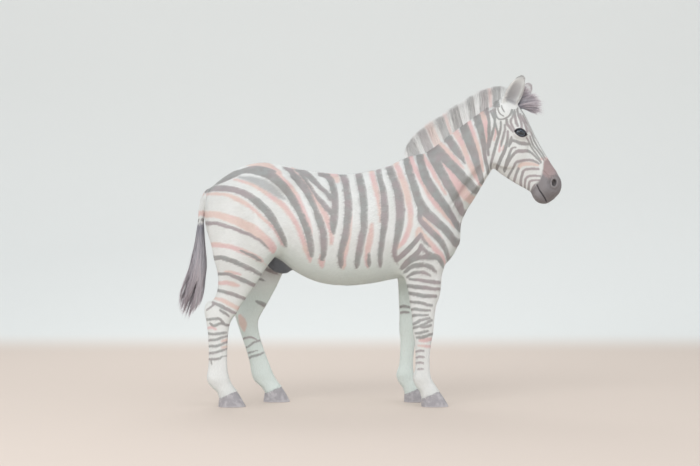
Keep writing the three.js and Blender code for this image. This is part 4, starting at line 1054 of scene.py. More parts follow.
def coatMaterial(name, relief, lift=0.0):
    # relief in mm, deeper on the skin, where no blade stands over it
    material, tree = newMaterial(name)
    place = addNode(tree, "Attribute", out="Vector", attribute_name="spot")
    values = {}
    for cloud, (size, detail) in coat["clouds"].items():
        values[cloud] = addNode(tree, "TexNoise", {"Vector": place, "Scale": 1000.0 / size, "Detail": detail,
                                                   "Roughness": 0.55})
    drift = addNode(tree, "Math", {0: values["close"], 1: 5.0, 2: -2.5}, operation="MULTIPLY_ADD")
    nose = addNode(tree, "Attribute", out="Vector", attribute_name="nose")
    nose = addNode(tree, "SeparateXYZ", {"Vector": nose}).node.outputs
    values.update({"bridge": nose[0], "nostril": nose[1], "mouth": nose[2]})
    for mark, fray in coat["fray"].items():
        if mark not in values:
            values[mark] = addNode(tree, "Attribute", out="Fac", attribute_name=mark)
        if fray:
            values[mark] = addNode(tree, "Math", {0: drift, 1: fray, 2: values[mark]},
                                   operation="MULTIPLY_ADD")
    colour = paint(tree, coat["colours"], [(under, over, values[value], *rest)
                                           for under, over, value, *rest in coat["washes"]])
    # hair streaks: noise drawn out along the lie of the coat on the body, legs, neck and head
    lie = addNode(tree, "Attribute", out="Vector", attribute_name="lie")
    shares = [1.0, *addNode(tree, "SeparateXYZ", {"Vector": lie}).node.outputs]
    hair = 0.0
    for share, pitch, stretch in zip(shares, (0, 0, 42, -60), ((0.16, 1, 1), (1, 1, 0.16), (0.16, 1, 1),
                                                               (0.16, 1, 1))):
        at = addNode(tree, "VectorRotate", {"Vector": place, "Rotation": (0, math.radians(pitch), 0)},
                     rotation_type="EULER_XYZ")
        at = addNode(tree, "VectorMath", {0: at, 1: stretch}, operation="MULTIPLY")
        streak = addNode(tree, "TexNoise", {"Vector": at, "Scale": 1000.0 / coat["hair"], "Roughness": 0.55})
        hair = addNode(tree, "Mix", {"Factor": share, "A": hair, "B": streak})
    tone = addNode(tree, "Math", {0: hair, 1: 0.26, 2: 0.88}, operation="MULTIPLY_ADD")
    colour = addNode(tree, "Mix", {"Factor": 1.0, "A": colour, "B": tone}, "Result",
                     data_type="RGBA", blend_type="MULTIPLY")
    # painted light: the colour is mixed toward white to make up for the shade that upright hair casts on
    # itself
    if lift:  # upright hair shades itself
        colour = addNode(tree, "Mix", {"Factor": lift, "A": colour, "B": linear("#ffffff")}, "Result",
                         data_type="RGBA")
    # bare skin: pores instead of hair, and a duller shine
    bare = addNode(tree, "MapRange", {"Value": values["groin"], "From Min": -6.0, "From Max": 4.0},
                   interpolation_type=soft)
    onBare = addNode(tree, "MapRange", {"Value": values["muzzle"], "From Min": 30.0, "From Max": 80.0},
                     interpolation_type=soft)
    onBare = addNode(tree, "Math", {0: onBare, 1: bare}, operation="MAXIMUM")
    strands = addNode(tree, "Math", {0: values["middle"], 1: 0.8, 2: hair}, operation="MULTIPLY_ADD")
    pores = addNode(tree, "TexVoronoi", {"Vector": place, "Scale": coat["pores"]})
    height = addNode(tree, "Mix", {"Factor": onBare, "A": strands, "B": pores})
    bump = addNode(tree, "Bump", {"Height": height, "Strength": 0.5, "Distance": relief * mm})
    rough = addNode(tree, "MapRange", {"Value": onBare, "To Min": coat["rough"], "To Max": coat["bareRough"]},
                    interpolation_type=soft)
    shader = addNode(tree, "BsdfPrincipled", {"Base Color": colour, "Roughness": rough, "Normal": bump,
                                              "IOR": 1.5, "Sheen Weight": 0.12, "Sheen Roughness": 0.5})
    addNode(tree, "OutputMaterial", {"Surface": shader})
    return material


# an unwrap of the skin's own shape: each part is opened out like a sleeve into its own box
# rows: frame, centre across and up, station from and to, then the box's corner and size
sleeves = {
    "trunk": (body, (0, 950), (-940, 520), (0.0, 0.0, 0.62, 0.50)),
    "neck": (neckFrame, (0, 0), (-200, 760), (0.0, 0.52, 0.42, 0.30)),
    "head": (headFrame, (0, -60), (-260, 410), (0.44, 0.52, 0.30, 0.30)),
    "fore_right": (upright, (-foreTrack, 290), (0, 900), (0.64, 0.0, 0.09, 0.50)),
    "fore_left": (upright, (foreTrack, 225), (0, 900), (0.73, 0.0, 0.09, 0.50)),
    "hind_right": (upright, (-hindTrack, -770), (0, 900), (0.82, 0.0, 0.09, 0.50)),
    "hind_left": (upright, (hindTrack, -620), (0, 900), (0.91, 0.0, 0.09, 0.50)),
    "tail": (upright, (0, -908), (400, 1160), (0.0, 0.84, 0.40, 0.14)),
    "ear_right": (earFrame(-1), (0, 0), (0, 215), (0.76, 0.52, 0.11, 0.20)),
    "ear_left": (earFrame(1), (0, 0), (0, 215), (0.88, 0.52, 0.11, 0.20))}


def sleeveOf(points):
    names = list(sleeves)
    which = np.full(len(points), names.index("trunk"))
    x, y, z = points.T
    _, neckShare, head = lieOf(points)
    which[neckShare > 0.5] = names.index("neck")
    which[head > 0.5] = names.index("head")
    for name, (_, _, side) in legRows.items():
        mine = (z < 700) & (np.sign(y) == side)
        which[mine & ((x > -100) == name.startswith("fore"))] = names.index(name)
    which[(x < -870) | ((x < -840) & (np.abs(y) < 26) & (z < 1110))] = names.index("tail")
    part = earMarks(points)[0] > 0.3
    which[part & (y < earParting)] = names.index("ear_right")
    which[part & (y >= earParting)] = names.index("ear_left")
    return which


def sleeveAt(points, which, near=None):
    # near: the angle that each point's own must stay beside, so that no face spans the cut
    uv, turn = np.zeros((len(points), 2)), np.zeros(len(points))
    for i, (f, (across, up), (first, last), (left, low, wide, tall)) in enumerate(sleeves.values()):
        mine = which == i
        s, v, t = inFrame(f, points[mine])
        angle = np.arctan2(v - across, t - up)
        if near is not None:
            angle = near[mine] + (angle - near[mine] + np.pi) % (2 * np.pi) - np.pi
        turn[mine] = angle
        along = np.clip((s - first) / (last - first), 0.01, 0.99)
        around = np.clip(angle / (2 * np.pi) * 0.94 + 0.5, 0.0, 1.0)
        uv[mine] = np.stack([left + wide * along, low + tall * around], 1)
    return uv, turn


def skinUv(vertices, faces):
    centres = vertices[faces].mean(1)
    which = sleeveOf(centres)
    _, near = sleeveAt(centres, which)
    corners = vertices[faces].reshape(-1, 3)
    return sleeveAt(corners, np.repeat(which, faces.shape[1]), np.repeat(near, faces.shape[1]))[0]


def bladeUv(root, faces, each, along):
    # every blade is a patch 0.003 across at its root's place
    place, _ = sleeveAt(root, sleeveOf(root))
    across = np.tile(np.append(np.tile([-0.0012, 0.0012], (each - 1) // 2), 0.0), len(root))
    corner = np.repeat(place, each, 0) + np.stack([0.003 * along - 0.0015, across], 1)
    return corner[faces.reshape(-1)]


skinMaterial = coatMaterial("shortHairOnHide", 1.6)
skin = meshObject("skin", skinVertices, skinFaces, skinMaterial, coatAttributes(skinVertices, skinMarks),
                  skinUv(skinVertices, skinFaces))
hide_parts("head", "muzzle", "neck", "chest", "barrel", "hindquarters", "ear_right", "ear_left",
            "forearm_right", "forearm_left", "forecannon_right", "forecannon_left", "thigh_right",
            "thigh_left", "hindcannon_right", "hindcannon_left", "tail_dock", "sheath")


def surfaceUnder(points, toward, reach):
    # where a ray from each point meets the skin, in mm, and which face it meets; -1 is none
    hits, faces = points.copy(), np.full(len(points), -1)
    for i, (p, d) in enumerate(zip(points * mm, toward)):
        place, _, face, _ = skinTree.ray_cast(Vector(p), Vector(d), reach * mm)
        if place is not None:
            hits[i] = np.array(place) / mm
            faces[i] = face
    return hits, faces


print("skin: kept to lay hair and hooves on")
skinTree = BVHTree.FromPolygons([tuple(v) for v in skinVertices * mm], skinFaces.tolist())


# eyes: wet dark balls with a wide pupil, under thick dark lids with lashes
# the iris's paler patches are a painted reflection
eyeLook = {"ball": {"pupil": "#1f2329", "iris": "#505b66", "paintedReflection": "#6f7b87", "irisEdge": "#1d1c20"},
           "lid": {"rim": "#37343a", "fold": "#57525a"},
           "pupilSize": (19.0, 9.5), "irisSize": (24.5, 20.0), "cornea": 2.0, "gap": 0.6,
           "rings": 40, "turns": 64, "lidSteps": 44, "lashes": 70, "lashLength": 17, "lashWidth": 0.9}


def eyeSurface(side):
    # rings about the axis that looks outward
    a, b, c = np.array(eye["radii"]) - eyeLook["gap"]
    theta = np.linspace(0.0, 2.2, eyeLook["rings"])[:, None]
    phi = np.linspace(0, 2 * np.pi, eyeLook["turns"], endpoint=False)[None]
    bulge = eyeLook["cornea"] * np.clip(1 - (theta / 0.8) ** 2, 0, 1) ** 2
    e1 = a * np.sin(theta) * np.cos(phi)
    e2 = c * np.sin(theta) * np.sin(phi)
    out = b * np.cos(theta) + bulge + 0 * phi
    vertices = toWorld(eyeFrame(side), e1, out, e2).reshape(-1, 3)
    faces = gridFaces(*e1.shape)
    return vertices, faces[:, ::-1] if side > 0 else faces, np.stack([e1, e2, 0 * e1], -1).reshape(-1, 3)


def eyeMaterial():
    # wet cornea over a dark iris: a mirror-smooth clear coat that picks up the lamps
    material, tree = newMaterial("wetEye")
    at = addNode(tree, "Attribute", out="Vector", attribute_name="at")
    ray = addNode(tree, "VectorMath", {0: at}, operation="NORMALIZE")
    # painted reflection: cloudy pale blue-grey patches over the iris, whose own blue-grey is partly painted
    # reflection as well
    washes = [("iris", "paintedReflection", addNode(tree, "TexNoise", {"Vector": ray, "Scale": 9.0, "Detail": 4.0}),
               0.35, 0.65, 1, soft)]
    for over, size, high in (("iris", "pupilSize", 1.25), ("irisEdge", "irisSize", 1.05)):
        oval = addNode(tree, "VectorMath", {0: at, 1: (*eyeLook[size], 1.0)}, operation="DIVIDE")
        reach = addNode(tree, "VectorMath", {0: oval}, "Value", operation="LENGTH")
        washes.append(("pupil", over, reach, 0.85, high, 1, soft))
    colour = paint(tree, eyeLook["ball"], washes)
    shader = addNode(tree, "BsdfPrincipled", {"Base Color": colour, "Roughness": 0.12, "IOR": 1.38,
                                              "Coat Weight": 1.0, "Coat Roughness": 0.02, "Coat IOR": 1.38})
    addNode(tree, "OutputMaterial", {"Surface": shader})
    return material


def lidRim(side, upper):
    # the thick bare edge of a lid, from corner to corner: outside, crest, inside, against the ball
    half = eye["opening"][0]
    reach = half + 2.5
    x = -np.cos(np.linspace(0.0, np.pi, eyeLook["lidSteps"] + 1)) * reach
    edge = lidEdge(np.clip(x, -half, half) * 0.985)[0 if upper else 1] + 0.6
    wide = (5.6 if upper else 4.2) * (0.5 + 0.5 * ease(0, 0.28, 1 - np.abs(x) / reach))
    profile = [(1.0, -0.6), (0.55, 0.9), (0.1, 1.5), (-0.22, 0.9), (-0.34, -1.2), (-0.3, -4.5)]
    sign = 1 if upper else -1
    radii = np.array(eye["radii"]) + eye["lid"]
    rows = []
    for k, lift in profile:
        e2 = sign * (edge + wide * k)
        q = np.clip(1 - (x / radii[0]) ** 2 - (e2 / radii[2]) ** 2, 0.02, 1)
        out = radii[1] * np.sqrt(q) + lift - 1.4 + 0.35 * np.sin(x * 0.9 + k * 5) * (k > 0)
        rows.append(toWorld(eyeFrame(side), x * (1 + 0.03 * k), out, e2))
    faces = gridFaces(len(x), len(profile), False)
    outward = [0, 3, 2, 1] if side * sign > 0 else [1, 2, 3, 0]
    return np.stack(rows, 1).reshape(-1, 3), faces[:, outward], rows[2]


def bareSkinMaterial():
    # bare lid skin: dark, moist, with fine folds that give small broken highlights
    material, tree = newMaterial("bareLidSkin")
    place = addNode(tree, "TexCoord", out="Object")
    grain = addNode(tree, "TexVoronoi", {"Vector": place, "Scale": 700.0})
    tone = addNode(tree, "TexNoise", {"Vector": place, "Scale": 160.0, "Detail": 3.0})
    colour = paint(tree, eyeLook["lid"], [("rim", "fold", tone, 0, 1, 1, even)])
    bump = addNode(tree, "Bump", {"Height": grain, "Strength": 0.4, "Distance": 0.0006})
    shader = addNode(tree, "BsdfPrincipled", {"Base Color": colour, "Roughness": 0.38, "IOR": 1.45,
                                              "Normal": bump})
    addNode(tree, "OutputMaterial", {"Surface": shader})
    return material


def addEyes():
    wet, bareSkin = eyeMaterial(), bareSkinMaterial()
    for name, side in (("right", -1), ("left", 1)):
        vertices, faces, at = eyeSurface(side)
        ball = meshObject("eyeball_" + name, vertices, faces, wet, {"at": at})
        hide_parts("eye_" + name)
        points, quads, crest = lidRim(side, True)
        lower = lidRim(side, False)
        lids = meshObject("lids_" + name, np.concatenate([points, lower[0]]),
                          np.concatenate([quads, lower[1] + len(points)]), bareSkin)
        # lashes along the upper lid, longest past the middle, sweeping out and down
        f = eyeFrame(side)
        t = np.sort(dice.uniform(0.12, 0.9, eyeLook["lashes"])) * (len(crest) - 1)
        low = t.astype(int)
        root = crest[low] + (crest[np.minimum(low + 1, len(crest) - 1)] - crest[low]) * (t - low)[:, None]
        fan = (t / len(crest) - 0.45)[:, None]
        heading = unit(f["side"] + f["along"] * (fan * 1.5) + f["up"] * 0.25
                       + dice.normal(0, 0.09, (len(t), 3)))
        length = eyeLook["lashLength"] * (0.6 + 0.5 * np.sin(np.pi * t / len(crest)))
        length = length * dice.uniform(0.75, 1, len(t))
        points, triangles, _, _ = blades(root, heading, np.tile(f["up"], (len(t), 1)), length,
                                         np.full(len(t), eyeLook["lashWidth"]),
                                         [-length * 0.55 * (k / 4) ** 2 for k in range(5)])
        lash = meshObject("lashes_" + name, points, triangles, bareSkin)


print("eyes")
addEyes()


# hooves: horn that grows down in rings, worn at the edge
horn = {"colours": {"dark": "#918d94", "base": "#acaaad", "pale": "#c8c5c8"},
        "ring": 5.5, "rings": 44, "turns": 72,
        "sole": [(0.90, 0.3), (0.86, 4.0), (0.45, 6.5), (0.02, 7.0)]}  # share of the width, and mm up


def hoofMesh(toe, y):
    size = hoofSize
    turns, rings = horn["turns"], horn["rings"]
    a = np.linspace(0, 2 * np.pi, turns, endpoint=False)
    c, s = np.cos(a), np.sin(a)
    # the top follows the hair's edge, measured on the skin
    middleTop = np.array([toe - size["length"] / 2 - size["slant"], y, 0.0])
    flat = np.stack([c * size["topLength"] / 2, s * size["topWidth"] / 2, 0 * c], 1)
    start = middleTop + flat * 1.7
    start[:, 2] += hairlineHeight(middleTop[0] + flat[:, 0], toe) + 4.0
    hit, face = surfaceUnder(start, unit(-flat), 90)
    reach = np.where(face >= 0, np.hypot(*(hit - middleTop)[:, :2].T), np.hypot(*flat[:, :2].T))
    reach = sum(np.roll(reach, k) for k in range(-3, 4)) / 7 + 1.0
    turn = np.arctan2(flat[:, 1], flat[:, 0])
    topX, topY = reach * np.cos(turn), reach * np.sin(turn)
    rows, rises = [], []
    for i in range(rings + 1):
        u = i / rings
        ring = 0.45 * np.sin(u * size["rise"] / horn["ring"] * 2 * np.pi + 0.4 * np.sin(a * 2)) * (u < 0.96)
        ring += 0.8 * ease(0.88, 0.97, u) - 1.3 * ease(0.04, 0.0, u)
        middle = toe - size["length"] / 2 - size["slant"] * u ** 0.9
        blunt = np.where(c > 0, 2.2, 2.6)
        r = 1 / (np.abs(c) ** blunt + np.abs(s) ** blunt) ** (1 / blunt)
        cleft = 1 - 0.10 * np.exp(-((a - np.pi) / 0.16) ** 2) * (1 - u)
        x = (size["length"] / 2 + ring) * r * c * cleft * (1 - u) + (topX + ring * c) * u + middle
        across = (size["width"] / 2 + ring) * r * s * cleft * (1 - u) + (topY + ring * s) * u
        top = hairlineHeight(x, toe) + 2.0
        rows.append(np.stack([x, y + across, np.maximum(top * u, 0.05)], 1))
        rises.append(np.full(turns, u))
    # sole: a wall's thickness of horn, then hollowed
    for scale, lift in horn["sole"]:
        centre = rows[0].mean(0)
        ring = centre + (rows[0] - centre) * scale
        rows.insert(0, np.column_stack([ring[:, :2], np.full(turns, lift)]))
        rises.insert(0, np.zeros(turns))
    # a rim that turns in under the hair
    centre = rows[-1].mean(0)
    rows.append(centre + (rows[-1] - centre) * 0.94 + [0, 0, -2.0])
    rises.append(np.ones(turns))
    return np.concatenate(rows), gridFaces(len(rows), turns), np.concatenate(rises)


def hornMaterial():
    # horn: dull satin with fine lines down the wall, paler where it is worn near the ground
    material, tree = newMaterial("hoofHorn")
    place = addNode(tree, "TexCoord", out="Object")
    rise = addNode(tree, "Attribute", out="Fac", attribute_name="rise")
    drawn = addNode(tree, "VectorMath", {0: place, 1: (1, 1, 0.06)}, operation="MULTIPLY")
    lines = addNode(tree, "TexNoise", {"Vector": drawn, "Scale": 420.0, "Detail": 3.0})
    cloud = addNode(tree, "TexNoise", {"Vector": place, "Scale": 45.0, "Detail": 4.0})
    colour = paint(tree, horn["colours"], [("dark", "base", lines, 0, 1, 1, even),
                                           ("dark", "pale", cloud, 0.45, 0.7, 0.6, even),
                                           ("dark", "pale", rise, 0.16, 0, 0.7, even)])
    bump = addNode(tree, "Bump", {"Height": lines, "Strength": 0.35, "Distance": 0.001})
    shader = addNode(tree, "BsdfPrincipled", {"Base Color": colour, "Roughness": 0.46, "IOR": 1.54,
                                              "Normal": bump})
    addNode(tree, "OutputMaterial", {"Surface": shader})
    return material


print("hooves")
hornFinish = hornMaterial()
for hoofName, (toe, y) in hoofToes.items():
    end, sideName = hoofName.split("_")
    points, quads, rise = hoofMesh(toe, y)
    piece = meshObject("hoof_" + hoofName, points, quads, hornFinish, {"rise": rise})
    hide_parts(end + "hoof_" + sideName)


# mane: a stiff upright brush on the crest, its hairs banded by the neck's stripes
mane = {"count": 15000, "half": 14.0, "width": 2.3, "shortest": 0.5,
        "edge": [(190, 1352), (208, 1402), (248, 1458), (300, 1500), (383, 1557), (481, 1622), (583, 1682),
                 (653, 1708), (712, 1716), (752, 1700)],
        "root": [(196, 1300), (240, 1308), (300, 1330), (360, 1370), (430, 1420), (510, 1485), (590, 1545),
                 (660, 1570), (712, 1570), (752, 1570)],
        "grey": [(208, 258), (280, 318), (378, 412), (447, 492), (534, 568), (598, 639), (664, 709)],
        "blush": [(324, 362), (414, 432), (643, 661)]}  # bands, from and to along the animal, half way up


def buildMane():
    n = mane["count"]
    t = np.sort(dice.uniform(0, 1, n))
    spread = dice.uniform(-1, 1, n)
    y = spread * mane["half"]
    at = np.linspace(0, 1, len(mane["root"]))
    start, end = [np.stack([np.interp(t, at, x), y * wider, np.interp(t, at, z)], 1)
                  for (x, z), wider in ((np.array(mane["edge"]).T, 1), (np.array(mane["root"]).T, 1.35))]
    down = unit(end - start)
    root, face = surfaceUnder(start, down, 260)
    root = np.where(face[:, None] >= 0, root, end)
    tall = np.linalg.norm(start - root, axis=1)
    keep = (tall > 8) & (earMarks(root)[0] < 0.05)
    t, root, down, tall, spread, start = [a[keep] for a in (t, root, down, tall, spread, start)]
    n = len(t)
    shortness = 1 - (1 - mane["shortest"]) * dice.uniform(0, 1, n) ** 2.8
    # hairs gather into locks whose tips stand a little apart
    lock = noise(np.stack([t * 700, spread * 20, 0 * t], 1), 16, 21)
    length = tall * (1.05 + 0.07 * lock) * shortness * (1 - 0.10 * np.abs(spread) ** 3) + 4
    lean = np.stack([0.10 * lock + dice.normal(0, 0.045, n), spread * 0.05 + dice.normal(0, 0.035, n),
                     dice.normal(0, 0.02, n)], 1)
    heading = unit(-down + lean)
    out = unit(np.stack([dice.normal(0, 0.6, n), np.ones(n), 0 * t], 1))
    bend = length * (0.05 * lock + dice.normal(0, 0.03, n))
    rise = [bend * (k / 3) ** 2 for k in range(4)]
    width = mane["width"] * dice.uniform(0.7, 1.2, n)
    points, faces, along, each = blades(root - heading * 4, heading, out, length, width, rise,
                                        length * dice.normal(0, 0.04, n))
    seen = (root + start) / 2
    marks = markings(seen, np.tile([0, -1.0, 0], (n, 1)))
    for key in ("grey", "blush"):
        bands = np.array(mane[key], float)
        middle, half = bands.mean(1), (bands[:, 1] - bands[:, 0]) / 2
        marks[key] = (half - np.abs(seen[:, :1] + 5 * lock[:, None] - middle)).max(1)
    marks.update(ash=np.full(n, outside), shade=np.zeros(n))
    tone = np.repeat(dice.uniform(0, 1, n), each)
    attributes = coatAttributes(root, marks, each)
    attributes["tip"] = ease(0.7, 1.0, along) * (0.1 + 0.35 * tone)
    piece = meshObject("mane_hair", points, faces, maneMaterial, attributes,
                       bladeUv(root, faces, each, along))
    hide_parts("mane")


# forelock: spiky dark locks that fall forward between the ears
forelock = {"colours": {"dark": "#96949c", "mid": "#b5b2b9", "light": "#d6c9cd", "root": "#74788a",
                        "tip": "#cdc2c7"},
            "count": 1700, "width": 2.2, "back": -205, "front": -120, "long": 132}


def buildForelock():
    n, back, front = forelock["count"], forelock["back"], forelock["front"]
    s = dice.uniform(back, front, n)
    v = dice.normal(0, 9, n)
    start = toWorld(headFrame, s, v, 140.0)
    root, face = surfaceUnder(start, np.tile(-headFrame["up"], (n, 1)), 220)
    keep = (face >= 0) & (earMarks(root)[0] < 0.05)
    s, v, root = s[keep], v[keep], root[keep]
    n = len(s)
    # the locks fan out forward, the rear ones pointing up and the front ones a little down
    lock = noise(np.stack([s, v, 0 * s], 1), 13, 31)
    side = noise(np.stack([s, v, 0 * s], 1), 13, 32)
    rear = (s - front) / (back - front)
    rise = np.radians(-6 + 56 * rear + 24 * lock + dice.normal(0, 3, n))
    yawed = np.radians(headYaw) + 0.22 * side + v / 90
    heading = unit(np.stack([np.cos(rise) * np.cos(yawed), np.cos(rise) * np.sin(yawed), np.sin(rise)], 1))
    length = forelock["long"] * (1 - 0.25 * rear + 0.14 * lock) * dice.uniform(0.55, 1.0, n)
    bend = length * (0.16 + 0.10 * lock) * dice.uniform(0.6, 1.2, n)
    out = unit(np.cross(heading, [0, 0, 1.0] + dice.normal(0, 0.45, (n, 3))))
    rise = [length * 0.12 * side * (k / 4) ** 2 for k in range(5)]
    points, faces, along, each = blades(root - heading * 3, heading, out, length,
                                        forelock["width"] * dice.uniform(0.7, 1.2, n), rise, bend)
    tone = np.repeat(np.clip(0.45 + 0.35 * lock + dice.normal(0, 0.2, n), 0, 1), each)
    piece = meshObject("forelock_hair", points, faces, forelockMaterial, {"tone": tone, "along": along},
                       bladeUv(root, faces, each, along))
    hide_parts("forelock")


# tail: long coarse hair from the end of the dock, gathered and then tapering
tail = {"colours": {"dark": "#9c9da7", "mid": "#b6b5bc", "light": "#d2c8cc", "root": "#767a8b",
                    "tip": "#dccfd4"},
        "count": 6500, "width": 2.2, "locks": 19, "steps": 7,
        # x, z and half widths along and across the animal, down the middle of the hair
        "line": [(-905, 1015, 17, 17), (-911, 925, 23, 22), (-914, 850, 32, 28), (-916, 800, 40, 33),
                 (-920, 740, 48, 36), (-932, 680, 54, 37), (-946, 620, 60, 36), (-962, 565, 66, 32),
                 (-978, 515, 66, 28), (-992, 462, 62, 24), (-1003, 425, 56, 20)]}


def buildTail():
    rows = np.array(tail["line"], float)
    n = tail["count"]
    at = np.concatenate([[0], np.cumsum(np.hypot(*np.diff(rows[:, :2], axis=0).T))])

    def place(where, across, deep):
        q = [np.interp(where, at, rows[:, k]) for k in range(4)]
        ahead = [np.interp(where + 8, at, rows[:, k]) - np.interp(where - 8, at, rows[:, k]) for k in (0, 1)]
        run = unit(np.stack([ahead[0], 0 * q[0], ahead[1]], -1))
        out = np.stack([-run[..., 2], 0 * q[0], run[..., 0]], -1)
        centre = np.stack([q[0], 0 * q[0], q[1]], -1)
        return centre + out * (q[2] * across)[..., None] + np.array([0, 1.0, 0]) * (q[3] * deep)[..., None]

    angle = dice.uniform(0, 2 * np.pi, n)
    radius = np.sqrt(dice.uniform(0.05, 1, n))
    start = dice.uniform(0, 1, n) ** 0.9 * 230
    long = dice.uniform(0.25, 1.0, n) ** 0.7
    lock = noise(np.stack([np.cos(angle) * 40, np.sin(angle) * 40, start * 0.3], 1), 22, 41)
    # every hair belongs to the nearest lock, and the outer locks end higher up
    k = tail["locks"]
    across = np.linspace(-0.95, 0.95, k) + dice.normal(0, 0.03, k)
    deep = dice.uniform(-0.75, 0.75, k) * np.sqrt(np.clip(1 - across ** 2, 0.05, 1))
    ends = at[-1] * (1.0 - 0.17 * np.abs(across) ** 1.5 - dice.uniform(0, 0.09, k))
    mine = np.argmin(np.hypot(radius[:, None] * np.cos(angle)[:, None] - across,
                              0.6 * (radius[:, None] * np.sin(angle)[:, None] - deep)), 1)
    across, deep, ends = across[mine], deep[mine], ends[mine]
    stop = start + (ends - start) * long
    wisp = np.abs(dice.normal(0, 7, n))
    centre = []
    for i in range(tail["steps"] + 1):
        u = i / tail["steps"]
        where = start + (stop - start) * u
        r = radius * (0.96 + 0.04 * lock) * ease(-0.9, 0.35, u) if i else np.full(n, 0.55)
        a = angle + 0.35 * lock * u + 0.12 * np.sin(where / 60 + lock * 3)
        # locks draw together towards their ends and part from each other
        drawn = 0.92 * ease(0.45, 0.95, where / ends)
        curl = 0.10 * drawn * np.sin(where / 45 + mine * 2.4)
        spot = place(where, r * np.cos(a) * (1 - drawn) + across * drawn + curl,
                     r * np.sin(a) * (1 - drawn) + deep * drawn)
        fly = wisp * u ** 2.4
        centre.append(spot + np.stack([-fly, 0.5 * fly * np.sin(angle), 0 * fly], 1))
    centre = np.stack(centre, 1)
    run = unit(np.gradient(centre, axis=1))
    middle = place(np.minimum(start + 40, at[-1]), 0 * start, 0 * start)[:, None]
    outward = unit(centre - middle * [1, 1, 0] - centre * [0, 0, 1] + 1e-6)
    across = unit(np.cross(run, outward + dice.normal(0, 0.5, (n, 1, 3))))
    width = tail["width"] * dice.uniform(0.6, 1.2, n)
    taper = 1.0 - 0.6 * (np.arange(tail["steps"]) / tail["steps"]) ** 2
    points, faces, along, each = ribbons(centre, across[:, :-1], width[:, None] * 0.5 * taper)
    # painted shade: hairs near the middle of the tail get darker tones than the outer ones
    tone = np.clip(0.15 + 0.55 * radius * (0.6 + 0.6 * lock) + dice.normal(0, 0.16, n), 0, 1)
    piece = meshObject("tail_hair", points, faces, tailMaterial,
                       {"tone": np.repeat(tone, each), "along": along},
                       bladeUv(centre[:, 0], faces, each, along))
    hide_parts("tail_tuft")


def longHairMaterial(name, colours):
    # coarse long hair: satin strands of mixed shades, so that locks read apart
    material, tree = newMaterial(name)
    tone = addNode(tree, "Attribute", out="Fac", attribute_name="tone")
    along = addNode(tree, "Attribute", out="Fac", attribute_name="along")
    washes = [("dark", "mid", tone, 0, 0.5, 1, even), ("dark", "light", tone, 0.5, 1, 1, even),
              ("dark", "root", along, 0.35, 0, 0.8, even), ("dark", "tip", along, 0.5, 1, 0.65, even)]
    colour = paint(tree, colours, [wash for wash in washes if wash[1] in colours])
    place = addNode(tree, "TexCoord", out="Object")
    fine = addNode(tree, "TexNoise", {"Vector": place, "Scale": 900.0, "Detail": 2.0})
    bump = addNode(tree, "Bump", {"Height": fine, "Strength": 0.3, "Distance": 0.0005})
    shader = addNode(tree, "BsdfPrincipled", {"Base Color": colour, "Roughness": 0.5, "IOR": 1.55,
                                              "Normal": bump, "Sheen Weight": 0.1})
    addNode(tree, "OutputMaterial", {"Surface": shader})
    return material


# the short coat: thin blades that overlap and lie along the body
# for each part: mm² of skin to a blade, then a blade's length and width in mm
shortCoat = {"trunk": (27.0, 15.0, 1.7), "neck": (22.0, 14.0, 1.5), "leg": (13.0, 9.0, 1.1),
             "head": (6.0, 5.5, 0.75), "ear": (7.0, 9.0, 0.8), "tail": (14.0, 12.0, 1.1),
             "fringe": 13.0, "perPiece": 62000}


def coatFlow(points, normals):
    # which way the hair lies: back along the trunk, down the neck and legs, out from the brow
    leg, neckShare, head = lieOf(points)
    x, y, _ = points.T
    front = ease(150, 380, x)
    flow = np.stack([-1 + 0.5 * front, 0 * x, -0.30 - 0.7 * front], 1)
    flow = flow * (1 - neckShare - leg - head)[:, None].clip(0, 1)
    flow = flow + neckShare[:, None] * (-neckFrame["along"] + [0, 0, -0.35])
    flow = flow + leg[:, None] * np.array([0, 0, -1.0])
    a = inFrame(headFrame, points)[0]
    onward = 2 * ease(-60, 40, a) - 1
    sideways = normals @ headFrame["side"]
    faceFlow = headFrame["along"] * onward[:, None]
    faceFlow = faceFlow - headFrame["up"] * (0.25 + 0.6 * np.abs(sideways))[:, None]
    faceFlow = faceFlow + headFrame["side"] * (0.2 * np.sign(sideways))[:, None]
    flow = flow + head[:, None] * faceFlow
    onEar = earMarks(points)[0] > 0.3
    for side in (-1, 1):
        flow[onEar & (np.sign(y - earParting) == side)] = earFrame(side)["along"]
    flow[x < -850] = [0, 0, -1.0]  # the dock of the tail
    flow = flow + 0.22 * wobble(points, 90, (51, 52, 53)) + 0.10 * wobble(points, 18, (54, 55, 56))
    flow = flow - normals * (flow * normals).sum(1)[:, None]
    return flow / (np.linalg.norm(flow, axis=1)[:, None] + 1e-6)


